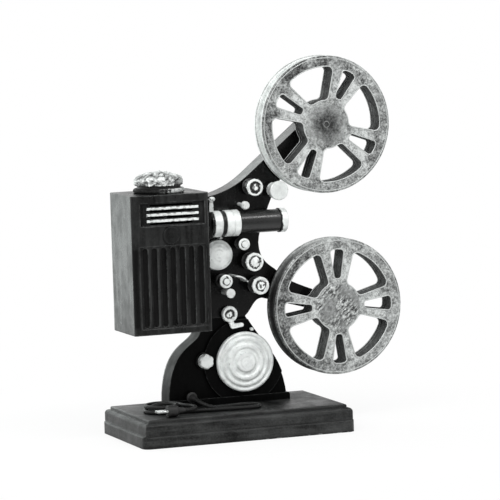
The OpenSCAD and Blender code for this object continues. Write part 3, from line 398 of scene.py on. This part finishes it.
def pewter(name, hub, lit_rim_band, shaded_rim_band, rim_free_of_shade, shade, shade_from, shade_by, core=0.0):
    """Mottled cast pewter of a reel: window walls dark as painted shade, pale spokes, and edges rubbed
    pale with a painted highlight.

    band and shaded_rim_band are the rim's tones on its two sides, where pale tones are a painted reflection
    and dark ones painted shade; rim_free_of_shade keeps the painted shade of the grooves off the rim. shade
    is the direction in X and Z of the far side, whose face darkens as painted shade by shade_by from
    shade_from metres off the hub on, and core says how much the hub's middle darkens."""
    m = Mat(name)
    blot = m.noise(48.0, detail=8.0, rough=0.72, distort=0.4)
    patch = m.noise(130.0, detail=6.0, rough=0.70, distort=0.5)
    fleck = m.noise(390.0, detail=6.0, rough=0.74)
    grit = m.noise(1100.0, detail=3.0, rough=0.6)
    out = m.radius(hub)
    tone = m.blend((blot, 0.28), (patch, 0.28), (fleck, 0.34), (grit, 0.10))
    spokes = m.times(m.span(out, *SPOKES_FROM), m.span(out, *SPOKES_TO))
    lit = m.plus(tone, m.times(spokes, 0.030))
    if core:
        lit = m.minus(lit, m.times(m.span(out, *HUB_FADE), core))
        even = m.times(m.minus(0.5, tone), m.span(out, *HUB_EDGE))
        lit = m.plus(lit, m.times(even, 0.50))
    lit = m.plus(lit, 0.006)
    walls = m.walls()
    inner = m.times(walls, m.span(out, *RIM_INSIDE))
    channel = m.span(m.size(m.axis("Y")), *CHANNEL)
    rim = m.times(m.most(walls, channel), m.span(out, *RIM_FROM))
    toward = Vector((shade[0], 0.0, shade[1]))
    centre = at(hub[0], 0, hub[1]).dot(toward)
    along = m.vector("DOT_PRODUCT", m.coord, toward, result="Value")
    # The face darkens towards the far side: painted shade.
    far = m.span(along, centre + shade_from, centre + SHADE_FULL)
    lit = m.minus(lit, m.times(far, m.span(out, *FACE_RIM), shade_by))
    # The rim's tones: pale ones are a painted reflection, dark ones painted shade.
    edge = m.mix(far, m.ramp(tone, (0.42, grey(lit_rim_band[0])), (0.58, grey(lit_rim_band[1]))),
                 m.ramp(tone, (0.42, grey(shaded_rim_band[0])), (0.60, grey(shaded_rim_band[1]))))
    base = m.ramp(lit, (0.42, grey(0.025)), (0.465, grey(0.14)), (0.515, grey(0.33)), (0.575, grey(0.64)))
    # Window walls darkened: painted shade.
    base = m.mix(m.times(inner, 0.95), base, m.ramp(tone, (0.44, grey(0.002)), (0.58, grey(0.075))))
    base = m.mix(rim, base, edge)
    outside = m.minus(1.0, inner)
    # Pale edges: rubbed paint, and a painted highlight along them.
    worn_and_highlit = m.times(m.edges(0.0011), m.ramp(fleck, (0.35, 0.45), (0.6, 1.0)), outside)
    base = m.mix(m.times(worn_and_highlit, 0.70), base, grey(0.60))
    # Darker in corners and grooves by an occlusion mask: painted shade, kept off the rim by the given share.
    painted_shade = m.times(m.crevice(0.005), 0.6, m.minus(1.0, m.times(rim, rim_free_of_shade)))
    m.colour(m.mix(painted_shade, base, grey(0.02)))
    m.rough(m.most(m.ramp(fleck, (0.3, 0.42), (0.7, 0.60)), m.times(inner, 0.95)))
    m.feed("Metallic", m.times(outside, 0.35))
    return m.bump(tone, 0.42, 0.0009).mat


def steel(name, value):
    m = Mat(name).set(Metallic=1.0)
    grain = m.noise(700.0, detail=3.0, rough=0.6)
    m.colour(m.ramp(grain, (0.3, grey(value * 0.80)), (0.7, grey(value))))
    m.rough(m.ramp(grain, (0.3, 0.26), (0.7, 0.40)))
    return m.bump(grain, 0.08, 0.0002).mat


def brass(name):
    m = Mat(name).set(Metallic=1.0)
    patch = m.noise(160.0, detail=5.0, rough=0.6)
    m.colour(m.mix(patch, (0.62, 0.44, 0.18), (0.78, 0.62, 0.32)))
    m.rough(m.ramp(patch, (0.3, 0.24), (0.7, 0.42)))
    return m.bump(m.noise(1200.0), 0.06, 0.0002).mat


def glass(name):
    m = Mat(name).set(Metallic=0.0, IOR=1.5, Base_Color=(0.94, 0.97, 0.99, 1.0), Transmission_Weight=1.0)
    return m.rough(m.ramp(m.noise(60.0), (0.3, 0.01), (0.7, 0.05))).mat


def porcelain(name):
    m = Mat(name).set(IOR=1.5)
    m.colour(m.mix(m.noise(120.0), (0.80, 0.79, 0.74), (0.88, 0.87, 0.84)))
    return m.rough(m.ramp(m.noise(300.0), (0.3, 0.14), (0.7, 0.24))).mat


def rubber(name, value):
    m = Mat(name).set(IOR=1.45)
    grain = m.noise(900.0, detail=4.0, rough=0.6)
    m.colour(m.ramp(grain, (0.3, value * 0.6), (0.7, value * 1.4)))
    m.rough(m.ramp(grain, (0.3, 0.5), (0.7, 0.68)))
    return m.bump(grain, 0.15, 0.0003).mat


THREAD_ANGLE = 0.62
THREAD_SCALE = 190.0


def braid(name):
    """Cloth-covered lead: two crossed sets of threads along the tube's own UV."""
    m = Mat(name).set(IOR=1.33)
    uv = m.node("ShaderNodeUVMap").outputs["UV"]
    waves = []
    for turn in (THREAD_ANGLE, -THREAD_ANGLE):
        spun = m.node("ShaderNodeVectorRotate", {"Vector": uv, "Angle": turn}, rotation_type="Z_AXIS")
        inputs = {"Vector": spun.outputs["Vector"], "Scale": THREAD_SCALE}
        waves.append(m.node("ShaderNodeTexWave", inputs, wave_profile="SIN").outputs["Fac"])
    weave = m.most(*waves)
    tone = m.blend((weave, 0.6), (m.noise(1600.0, detail=3.0, rough=0.6), 0.4))
    m.colour(m.ramp(tone, (0.25, grey(0.002)), (0.8, grey(0.011))))
    m.rough(m.ramp(tone, (0.2, 0.62), (0.8, 0.48)))
    return m.bump(weave, 0.5, 0.0004).mat


def hammered(name, stops, relief):
    """Rough casting with paint rubbed over it: the mesh says how high each point lies, and the colour
    follows it, pale on the lumps and dark in the creases as painted shade.
    """
    m = Mat(name).set(Metallic=0.35)
    high = m.node("ShaderNodeAttribute", attribute_name="depth").outputs["Fac"]
    fine = m.noise(420.0, detail=5.0, rough=0.7)
    tone = m.blend((high, 0.75), (fine, 0.25))
    # Pale on the lumps and dark in the creases: rubbed paint, and painted shade.
    m.colour(m.ramp(tone, *((place, grey(value)) for place, value in stops)))
    m.rough(m.ramp(fine, (0.3, 0.36), (0.7, 0.52)))
    return m.bump(fine, relief, 0.0006).mat


# Where on X the chimney ring's pale spots begin: the painted reflection lies to the right
PALE_SPOTS_X = (-0.096, -0.078)


def brushed_black(name):
    """Dark enamel, pale on its high spots to the right: rubbed silver paint and a painted reflection."""
    m = Mat(name).set(Metallic=0.0, IOR=1.36, Specular_IOR_Level=0.2)
    # Pale spots on the right: silver on the high spots, and a painted reflection.
    silver_and_reflection = m.times(m.span(m.noise(120.0, detail=5.0, rough=0.7), 0.46, 0.53), m.span(m.axis("X"), *PALE_SPOTS_X))
    enamel = m.ramp(m.noise(420.0), (0.35, grey(0.006)), (0.65, grey(0.020)))
    m.colour(m.mix(m.times(silver_and_reflection, 0.9), enamel, grey(0.55)))
    m.rough(m.ramp(m.noise(220.0), (0.3, 0.55), (0.7, 0.75)))
    return m.bump(m.noise(140.0, detail=5.0, rough=0.7), 0.5, 0.0010).mat


CHIPS_Z = (0.0040, 0.0015)
CHIPS_X = (-0.06, 0.10)


def bottom_chips(m, base):
    """Pale chips along the plinth's bottom edge, more of them to the right."""
    place = m.times(m.span(m.axis("Z"), *CHIPS_Z), m.span(m.axis("X"), *CHIPS_X))
    chip = m.times(m.edges(0.0020), m.span(m.noise(120.0, detail=4.0, rough=0.6), 0.53, 0.58))
    return m.mix(m.times(chip, place), base, grey(0.70))


# Flutes of the lamp house, in metres: the place of one of the valleys and the pitch, the heights between
# which they run, how deep behind the front they reach, and where the ridges' painted highlight grows to the
# left
FLUTE_X, FLUTE_PITCH = -0.1195, 0.012417
FLUTE_LOW, FLUTE_HIGH, FLUTE_FADE = 0.146, 0.250, 0.004
FLUTE_DEPTH = (0.008, 0.006)
FLUTE_LEFT = (-0.070, -0.108)


def ridge_highlights_and_valley_shade(m, base):
    """Flutes of the lamp house: valleys darkened as painted shade, and ridges rubbed pale with a painted
    highlight, most of all to the left.
    """
    x, z = m.axis("X"), m.axis("Z")
    turn = m.times(m.minus(x, FLUTE_X), FULL_TURN / FLUTE_PITCH)
    wave = m.math("COSINE", m.plus(turn, m.times(m.noise(30.0, detail=3.0, rough=0.5), 1.2)))
    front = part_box("lamp_house")[0][1]
    panel = m.times(m.span(z, FLUTE_LOW, FLUTE_LOW + FLUTE_FADE),
                    m.span(z, FLUTE_HIGH, FLUTE_HIGH - FLUTE_FADE),
                    m.span(m.axis("Y"), front + FLUTE_DEPTH[0], front + FLUTE_DEPTH[1]))
    streak = m.span(m.noise(90.0, detail=5.0, rough=0.65, vector=m.stretched(1.0, 1.0, 0.15)), 0.42, 0.64)
    # The ridges' pale is rubbed paint and a painted highlight, stronger to the left; the valleys' dark is
    # painted shade.
    left = m.plus(0.30, m.times(m.span(x, *FLUTE_LEFT), 0.70))
    ridge_highlight = m.times(m.span(wave, -0.62, -0.97), streak, left)
    valley_shade = m.times(m.span(wave, -0.80, 0.10), panel)
    base = m.mix(m.times(valley_shade, 0.90), base, grey(0.0010))
    return m.mix(m.times(ridge_highlight, panel), base, grey(0.032))


# Directions of the streaks in black paint, as scales of the coordinates
UPRIGHT = (1.0, 1.0, 0.12)
LEVEL = (0.10, 0.10, 1.0)
LENGTHWISE = (0.10, 1.0, 1.0)
STEEP = (1.0, 1.0, 0.5)
EVEN = (1.0, 1.0, 1.0)

# One material for each slot of the record, and nodes that have one of their own
MATS = {
    "black_paint": black_paint("satin_black", 0.0012, 0.0035, wear=0.30, along=STEEP, ior=1.42,
                               satin=(0.17, 0.30)),
    "dark_enamel": black_paint("dark_enamel", 0.004, 0.012, wear=0.0, along=EVEN),
    "bright_metal": silver("bright_metal", 0.82, tarnish_and_shade=0.75, nicks=0.13),
    "pewter": pewter("pewter_upper", UPPER_HUB, lit_rim_band=(0.55, 0.95), shaded_rim_band=(0.55, 0.95), rim_free_of_shade=1.0,
                     shade=(-0.75, 0.66), shade_from=-0.030, shade_by=0.035, core=0.076),
    "steel": steel("steel", 0.62),
    "brass": brass("brass"),
    "glass": glass("glass"),
    "porcelain": porcelain("porcelain"),
    "rubber": rubber("rubber", 0.012),
}
PEWTER_LOWER = pewter("pewter_lower", LOWER_HUB, lit_rim_band=(0.20, 0.55), shaded_rim_band=(0.005, 0.045), rim_free_of_shade=0.0,
                      shade=(-0.98, -0.20), shade_from=0.000, shade_by=0.046)
OWN = {
    "plinth": black_paint("plinth_black", 0.001, 0.050, wear=0.55, along=LEVEL, shine=0.34, soft=0.0022,
                          rub_width=0.0020, paint=bottom_chips, satin=(0.32, 0.56), relief=0.85),
    "lamp_house": black_paint("lamp_house_black", 0.0020, 0.022, wear=0.50, along=UPRIGHT, ior=1.38,
                              shine=0.36, soft=0.0020, rub_width=0.0022, paint=ridge_highlights_and_valley_shade,
                              satin=(0.24, 0.42), relief=0.60),
    "badge_disc": black_paint("badge_black", 0.005, 0.016, wear=0.0, along=UPRIGHT, ior=1.38, shine=0.36,
                              soft=0.0006, satin=(0.22, 0.46)),
    "pedestal": black_paint("pedestal_black", 0.0010, 0.0030, wear=0.30, along=UPRIGHT, ior=1.30, shine=0.15),
    "lens_barrel": black_paint("barrel_black", 0.008, 0.018, wear=0.30, along=LENGTHWISE, ior=1.50, shine=0.6,
                               satin=(0.24, 0.34)),
    "lens_mount": silver("mount_silver", 0.90, tarnish_and_shade=0.6, dark=beyond("X", -3.4), nicks=0.16),
    "focus_ring": silver("focus_silver", 0.88, tarnish_and_shade=0.75),
    "lens_front_ring": silver("front_ring_silver", 0.86, tarnish_and_shade=0.6, dark=torn_left("lens_front_ring", 2.2)),
    "louvre_bars": silver("bar_silver", 0.90, tarnish_and_shade=0.2, nicks=0.19),
    "speed_dial": silver("dial_silver", 0.96, tarnish_and_shade=0.15, turned=DIAL, soft=0.0035, nicks=0.10),
    "inching_knob": silver("knob_silver", 0.98, tarnish_and_shade=0.25, turned=KNOB, soft=0.0015, nicks=0.10,
                           rings=0.42),
    "clutch_lever": painted_disc("lever_disc", LEVER, groove=4.8, width=1.5, bare=0.2, back=20.0),
    "chimney_ring": brushed_black("brushed_black"),
    "roller_pins": silver("pin_silver", 0.92, tarnish_and_shade=0.8),
    "feed_sprocket": painted_disc("feed_disc", FEED_SPROCKET, groove=5.6, width=2.2, bare=1.0),
    "lower_sprocket": painted_disc("lower_disc", LOWER_SPROCKET, groove=7.5, width=1.0, bare=0.0),
    "take_up_sprocket": painted_disc("take_up_disc", TAKE_UP_SPROCKET, groove=6.4, width=1.3, bare=0.55),
    "gate_roller": painted_disc("gate_disc", GATE_ROLLER, groove=3.0, width=1.3, bare=0.3),
    "loop_roller": painted_disc("loop_disc", LOOP_ROLLER, groove=3.6, width=1.7, bare=0.6),
    "upper_spindle": MATS["pewter"],
    "lower_spindle": PEWTER_LOWER,
    "lower_reel_front": PEWTER_LOWER,
    "lower_reel_rear": PEWTER_LOWER,
    "lower_reel_core": PEWTER_LOWER,
}

slot_of = {s["node"]: s["material_slot"] for s in frame["record"]["subparts"]}
for name, obj in NODES.items():
    obj.data.materials.clear()
    obj.data.materials.append(OWN.get(name) or MATS[slot_of[name]])


# Mesh building blocks
def angles(count):
    return [FULL_TURN * k / count for k in range(count)]


def ring(bm, centre, radius, side, up, count):
    """Points on a circle in the plane of two directions."""
    return [bm.verts.new(centre + radius * (math.cos(a) * side + math.sin(a) * up)) for a in angles(count)]


def bridge(bm, first, second, smooth=True):
    """Quads between two closed rings with the same number of points."""
    faces = []
    for k in range(len(first)):
        n = (k + 1) % len(first)
        face = bm.faces.new((first[k], first[n], second[n], second[k]))
        face.smooth = smooth
        faces.append(face)
    return faces


def link_mesh(name, bm, mat):
    bmesh.ops.recalc_face_normals(bm, faces=bm.faces[:])
    mesh = bpy.data.meshes.new(name)
    bm.to_mesh(mesh)
    bm.free()
    obj = bpy.data.objects.new(name, mesh)
    scene.collection.objects.link(obj)
    mesh.materials.append(mat)
    return obj


# Mains cord: one braided tube along the CAD route, in the CAD source's millimetres
LIE = CORD_R + 0.2
RELIEF = (-45.0, 12.0)
COIL_C, COIL_R = (-94.0, -14.0), 24.0
COIL_PITCH, COIL_STEP = 2 * CORD_R + 0.8, 2 * CORD_R + 0.6
LAYER, CLIMB = 1.125, 0.5
TURNS = 2 * LAYER + CLIMB
TURN_STEPS = 40
ROUTE_STEPS = 5
TAIL_Z = LIE + COIL_STEP
PLUG = (-79.0, -60.0, 7.7)
CORD_SIDES = 16


def through(p, i, t):
    """A point on the smooth curve through p, the part t of the way from point i to the next."""
    last = len(p) - 1
    a, b, c, d = p[max(i - 1, 0)], p[i], p[min(i + 1, last)], p[min(i + 2, last)]
    bend, twist = 2 * a - 5 * b + 4 * c - d, 3 * b - a - 3 * c + d
    return 0.5 * (2 * b + (c - a) * t + bend * t * t + twist * t * t * t)


def route(places):
    p = [at(*place) for place in places]
    return [through(p, i, k / ROUTE_STEPS) for i in range(len(p) - 1) for k in range(ROUTE_STEPS)] + [p[-1]]


def cord_path():
    """Lead over the plinth, two layers of coil and the tail to the plug."""
    cx, cy = COIL_C
    lead = [(RELIEF[0], -6, RELIEF[1]), (RELIEF[0], -12, RELIEF[1] - 1), (-42, -21, 8), (-33, -27, LIE + 1),
            (-20, -28, LIE), (0, -24, LIE), (12, -22, LIE), (24, -26, LIE), (29, -37, LIE), (24, -47, LIE),
            (12, -51, LIE), (-5, -49, LIE), (-25, -46, LIE), (-45, -43, LIE), (-68, -40, LIE),
            (cx + 7, cy - COIL_R, LIE), (cx, cy - COIL_R, LIE)]
    tail = [(cx + COIL_R, cy, TAIL_Z), (cx + COIL_R, cy - 7, TAIL_Z), (-67.5, -30.5, TAIL_Z + 0.3),
            (-63, -40, TAIL_Z + 0.5), (-62, -49, TAIL_Z + 0.3), (-66, -56, TAIL_Z - 0.4),
            (PLUG[0] + 6, PLUG[1], PLUG[2]), PLUG]
    coil = []
    for i in range(1, int(TURNS * TURN_STEPS)):
        t = i / TURN_STEPS
        s = min(1.0, max(0.0, (t - LAYER) / CLIMB))
        r = COIL_R - COIL_PITCH * (t if t < LAYER + CLIMB / 2 else TURNS - t)
        a = math.radians(-90.0 - 360.0 * t)
        rise = COIL_STEP * s * s * (3 - 2 * s)
        coil.append(at(cx + r * math.cos(a), cy + r * math.sin(a), LIE + rise))
    return route(lead) + coil + route(tail)


def tube(name, path, radius, sides, mat):
    """A closed tube along a path, with UV in metres along and around it, and the path's length."""
    bm = bmesh.new()
    uv = bm.loops.layers.uv.new("UVMap")
    rings, run, along = [], 0.0, []
    for i, p in enumerate(path):
        t = (path[min(i + 1, len(path) - 1)] - path[max(i - 1, 0)]).normalized()
        s = t.cross(Vector((0, 0, 1))).normalized()
        run += (p - path[i - 1]).length if i else 0.0
        along.append(run)
        rings.append(ring(bm, p, radius, s, s.cross(t), sides))
    around = FULL_TURN * radius / sides
    for i in range(len(rings) - 1):
        for k, face in enumerate(bridge(bm, rings[i], rings[i + 1])):
            corners = ((along[i], k), (along[i], k + 1), (along[i + 1], k + 1), (along[i + 1], k))
            for loop, (x, y) in zip(face.loops, corners):
                loop[uv].uv = (x, y * around)
    bm.faces.new(rings[0][::-1])
    bm.faces.new(rings[-1])
    return link_mesh(name, bm, mat), run


path = cord_path()
cord, cord_length = tube("mains_cord", path, mm(CORD_R), CORD_SIDES, braid("braid"))
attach(cord, "stand")
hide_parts("cord_lead", "cord_coil", "cord_tail")

# Raised lips round the reels' windows and rims, in metres
WINDOW_LIP_R = 0.00075
RIM_LIP_R = 0.00055
LIP_SIDES = 8
BORE_REACH = 0.02
RIM_REACH = 0.08
SHORTEST_STEP = 0.0004


def face_loops(node, side):
    """Closed loops of points round a node's outermost flat face towards -Y (side -1) or +Y (side 1)."""
    bm = bmesh.new()
    bm.from_mesh(NODES[node].data)
    bmesh.ops.remove_doubles(bm, verts=bm.verts[:], dist=1e-6)
    level = max(side * v.co.y for v in bm.verts)
    flat = {f for f in bm.faces if all(side * v.co.y > level - 1e-5 for v in f.verts)}
    ends = {}
    for e in bm.edges:
        if sum(f in flat for f in e.link_faces) == 1:
            for v in e.verts:
                ends.setdefault(v, []).append(e.other_vert(v))
    loops = []
    while ends:
        loop, here = [], next(iter(ends))
        while here in ends:
            loop.append(here.co.copy())
            near = ends.pop(here)
            here = next((v for v in near if v in ends), None)
        loops.append(loop)
    bm.free()
    return loops


def lips(name, nodes, hub, mat):
    """Thin beads along the edges of a reel's outer faces, apart from the bore's."""
    bm = bmesh.new()
    centre = at(hub[0], 0, hub[1])
    for node, side in nodes:
        for loop in face_loops(node, side):
            reach = [math.hypot(p.x - centre.x, p.z - centre.z) for p in loop]
            if max(reach) < BORE_REACH:
                continue
            radius = RIM_LIP_R if min(reach) > RIM_REACH else WINDOW_LIP_R
            points = [p for i, p in enumerate(loop) if (p - loop[i - 1]).length > SHORTEST_STEP]
            rings = []
            for i, p in enumerate(points):
                t = (points[(i + 1) % len(points)] - points[i - 1]).normalized()
                y = Vector((0, 1, 0))
                rings.append(ring(bm, p, radius, t.cross(y).normalized(), y, LIP_SIDES))
            for i in range(len(rings)):
                bridge(bm, rings[i - 1], rings[i])
    return link_mesh(name, bm, mat)


MAT_LIP = silver("pewter_lip", 0.60, tarnish_and_shade=0.3)
for reel, hub in (("upper_reel", UPPER_HUB), ("lower_reel", LOWER_HUB)):
    piece = lips(reel + "_lips", ((reel + "_front", -1), (reel + "_rear", 1)), hub, MAT_LIP)
    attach(piece, reel)


# Rough castings: lumps pushed out along the surface, which the material colours by their height,
# with painted shade in the creases.
# Noise vectors take their offsets from the clock unless they are seeded
SEED = 4
noise.seed_set(SEED)


def lumps(p, pitch):
    """0 in the creases and up to 1 on the lumps of a rough casting, at a point in millimetres."""
    q = p / pitch + 0.45 * noise.noise_vector(p * 0.8 / pitch)
    swell = 0.5 + 0.8 * noise.noise(q)
    fold = min(1.0, 2.6 * abs(noise.noise(q * 1.7 + Vector((3.1, 5.7, 1.3)))))
    crumbs = 0.5 + 0.5 * noise.fractal(q * 3.0, 1.0, 2.0, 3)
    return max(0.0, min(1.0, 0.55 * swell + 0.30 * fold + 0.15 * crumbs))


# Rough plate on the lower reel's hub: metres, but the lumps' pitch and offset in millimetres
PLATE_R, PLATE_PROUD, PLATE_SUNK = 0.0315, 0.0024, 0.0006
PLATE_ROWS, PLATE_TURNS = 48, 220
PLATE_PITCH, PLATE_OFFSET = 5.4, Vector((40.0, 0.0, 11.0))
PLATE_CALM = (0.20, 1.05)
PLATE_TONES = ((0.28, 0.02), (0.42, 0.11), (0.53, 0.29), (0.68, 0.60))


def rough_hub(name, reel, hub, mat):
    """A thin rough-cast plate on the middle of a reel's front face, fading out towards its edge."""
    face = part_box(reel + "_front")[0][1]
    centre = at(hub[0], 0, hub[1])
    bm = bmesh.new()
    depth = bm.verts.layers.float.new("depth")
    middle = bm.verts.new((centre.x, face - PLATE_PROUD * 0.5, centre.z))
    middle[depth] = 0.5
    rings = []
    for j in range(1, PLATE_ROWS + 1):
        fade = min(1.0, 5.0 * (1.0 - j / PLATE_ROWS))
        row = []
        for a in angles(PLATE_TURNS):
            r = PLATE_R * j / PLATE_ROWS * (1.0 + 0.03 * math.sin(4 * a + 0.6) + 0.012 * math.sin(9 * a))
            p = Vector((r * math.cos(a), 0.0, r * math.sin(a)))
            grain = Vector((0.7 * (p.x + p.z), 0.0, 1.5 * (p.z - p.x))) * 1000.0
            calm = min(PLATE_CALM[1], max(PLATE_CALM[0], 0.70 + 2.0 * noise.noise(p * 42.0)))
            high = 0.5 + calm * (lumps(grain + PLATE_OFFSET, PLATE_PITCH) - 0.5)
            y = face + PLATE_SUNK - fade * (PLATE_SUNK + PLATE_PROUD * (high - 0.15))
            v = bm.verts.new((centre.x + p.x, y, centre.z + p.z))
            v[depth] = high
            row.append(v)
        rings.append(row)
    for k in range(PLATE_TURNS):
        n = (k + 1) % PLATE_TURNS
        bm.faces.new((middle, rings[0][k], rings[0][n])).smooth = True
        for j in range(PLATE_ROWS - 1):
            bm.faces.new((rings[j][k], rings[j + 1][k], rings[j + 1][n], rings[j][n])).smooth = True
    bm.faces.new(rings[-1])
    return link_mesh(name, bm, mat)


MAT_PLATE = hammered("rough_pewter", PLATE_TONES, relief=0.35)
plate = rough_hub("lower_hub_plate", "lower_reel", LOWER_HUB, MAT_PLATE)
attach(plate, "lower_reel")

# Vent cap with a knobbly dome on the CAD cap's own profile, in millimetres
CAP_H = 27.0
CAP_BORE, CAP_RIM = 27.0, 33.0
CAP_TURNS = 200
CAP_PITCH, CAP_SWELL, CAP_LEVEL = 6.5, 5.0, 0.70
CAP_TONES = ((0.24, 0.015), (0.37, 0.11), (0.50, 0.38), (0.68, 0.74))


def arc(cx, cz, r, a0, a1, n):
    """Points on an arc from a0 to a1 degrees."""
    turns = [math.radians(a0 + (a1 - a0) * k / n) for k in range(n + 1)]
    return [(cx + r * math.cos(a), cz + r * math.sin(a)) for a in turns]


def hammered_cap(name, mat):
    """The cap turned about its axis: a plain neck inside, and lumps on the dome."""
    low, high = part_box("vent_cap")
    cx, cy = (low[0] + high[0]) / 2, (low[1] + high[1]) / 2
    base = high[2] - mm(CAP_H)
    neck = [(0.05, 6), (CAP_BORE - 3, 6), (CAP_BORE - 3, -2.5), (CAP_BORE - 0.5, -2.5), (CAP_BORE - 0.5, 6),
            (CAP_BORE + 1, 6), (CAP_BORE + 1, 9.5), (CAP_RIM - 3.0, 9.5)]
    side = [(CAP_RIM - 1.5, 10.0 + 0.9 * k) for k in range(6)]
    profile = neck + side + arc(CAP_RIM - 7.5, 15.5, 6, 0, 60, 10) + arc(0, -43, 70, 70, 89.9, 34)
    bm = bmesh.new()
    depth = bm.verts.layers.float.new("depth")
    rings = []
    for j, (r, z) in enumerate(profile):
        ahead, back = profile[min(j + 1, len(profile) - 1)], profile[j - 1]
        along = Vector((ahead[0] - back[0], ahead[1] - back[1])).normalized()
        row = []
        for a in angles(CAP_TURNS):
            p = Vector((r * math.cos(a), r * math.sin(a), z))
            lump = 0.0
            if j >= len(neck):
                lump = lumps(p, CAP_PITCH)
                out = Vector((along.y * math.cos(a), along.y * math.sin(a), -along.x))
                p += out * (lump - CAP_LEVEL) * CAP_SWELL
            v = bm.verts.new((cx + mm(p.x), cy + mm(p.y), base + mm(p.z)))
            v[depth] = lump
            row.append(v)
        rings.append(row)
    for j in range(len(rings) - 1):
        bridge(bm, rings[j], rings[j + 1], smooth=j >= len(neck))
    bm.faces.new(rings[0][::-1])
    bm.faces.new(rings[-1])
    return link_mesh(name, bm, mat)


cap = hammered_cap("hammered_cap", hammered("hammered_silver", CAP_TONES, relief=0.25))
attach(cap, "vent_cap")
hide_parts("vent_cap")

# Stage: floor, world and lamps, in metres and watts
FLOOR_SIZE, FLOOR_Z = 16.0, -0.0002
FLOOR_COLOUR = (0.90, 0.90, 0.90, 1)
WHITE_REACH, WHITE_SHARE = (0.20, 0.55), (0.84, 1.0)
MIRROR_SHARE = 0.85
FRONT_GLOSS = 0.12
FLOOR_FRONT, WORLD_FRONT = (-1.2, 0.1), (-0.75, 0.1)
DIFFUSE_WORLD = 0.55
NEUTRAL = (1.0, 1.0, 1.0)
LIT_POINT = Vector((0.0, 0.0, 0.24))
LAMPS = (
    ("key", (-1.6, -1.9, 1.7), (1.5, 1.5), 44.0, NEUTRAL),
    ("rim", (-0.33, 0.80, 0.45), (0.92, 0.88), 3.5, (0.92, 1.0, 0.975)),
    ("strip", (0.54, -1.41, 1.88), (1.4, 0.22), 18.0, NEUTRAL),
    ("fill", (1.6, -1.8, 0.9), (1.6, 1.6), 6.0, NEUTRAL),
)


def ray_kinds(tree):
    """Sockets: 1 for camera rays, and 1 for the glossy and transmission rays that mirror the set."""
    kind = tree.node("ShaderNodeLightPath").outputs
    return kind["Is Camera Ray"], tree.most(kind["Is Glossy Ray"], kind["Is Transmission Ray"])


def make_floor():
    """White to the camera away from the object, shadowed paper near it, and dim in gloss from the front."""
    bpy.ops.mesh.primitive_plane_add(size=FLOOR_SIZE, location=(0, 0, FLOOR_Z))
    floor = bpy.context.object
    floor.name = "floor"
    mat = bpy.data.materials.new("floor")
    tree = Tree(mat)
    place = tree.node("ShaderNodeTexCoord").outputs["Object"]
    camera, mirror = ray_kinds(tree)
    white = tree.span(tree.vector("LENGTH", place, result="Value"), *WHITE_REACH, *WHITE_SHARE)
    front = tree.span(tree.part(place, "Y"), *FLOOR_FRONT, FRONT_GLOSS, 1.0)
    share = tree.plus(tree.times(camera, white), tree.times(mirror, MIRROR_SHARE))
    strength = tree.plus(camera, tree.times(mirror, front))
    paper = tree.node("ShaderNodeBsdfDiffuse", {"Color": FLOOR_COLOUR})
    glow = tree.node("ShaderNodeEmission", {"Strength": strength})
    mix = tree.node("ShaderNodeMixShader", {"Fac": share, 1: paper.outputs[0], 2: glow.outputs[0]})
    tree.node("ShaderNodeOutputMaterial", {"Surface": mix.outputs[0]})
    floor.data.materials.append(mat)


def make_world():
    """White to the camera, dim from the front in gloss, and soft light for the rest."""
    world = bpy.data.worlds.new("world")
    scene.world = world
    tree = Tree(world)
    camera, mirror = ray_kinds(tree)
    direction = tree.node("ShaderNodeTexCoord").outputs["Generated"]
    front = tree.span(tree.part(direction, "Y"), *WORLD_FRONT, FRONT_GLOSS, 1.0)
    other = tree.minus(1.0, tree.most(camera, mirror))
    strength = tree.plus(camera, tree.times(mirror, front))
    strength = tree.plus(strength, tree.times(other, DIFFUSE_WORLD))
    sky = tree.node("ShaderNodeBackground", {"Color": (1, 1, 1, 1), "Strength": strength})
    tree.node("ShaderNodeOutputWorld", {"Surface": sky.outputs[0]})


def make_lamps():
    for name, place, size, power, tint in LAMPS:
        data = bpy.data.lights.new(name, "AREA")
        data.shape = "RECTANGLE"
        data.size, data.size_y = size
        data.energy = power
        data.color = tint
        lamp = bpy.data.objects.new(name, data)
        scene.collection.objects.link(lamp)
        lamp.location = place
        lamp.rotation_euler = (LIT_POINT - Vector(place)).to_track_quat("-Z", "Y").to_euler()


make_floor()
make_world()
make_lamps()
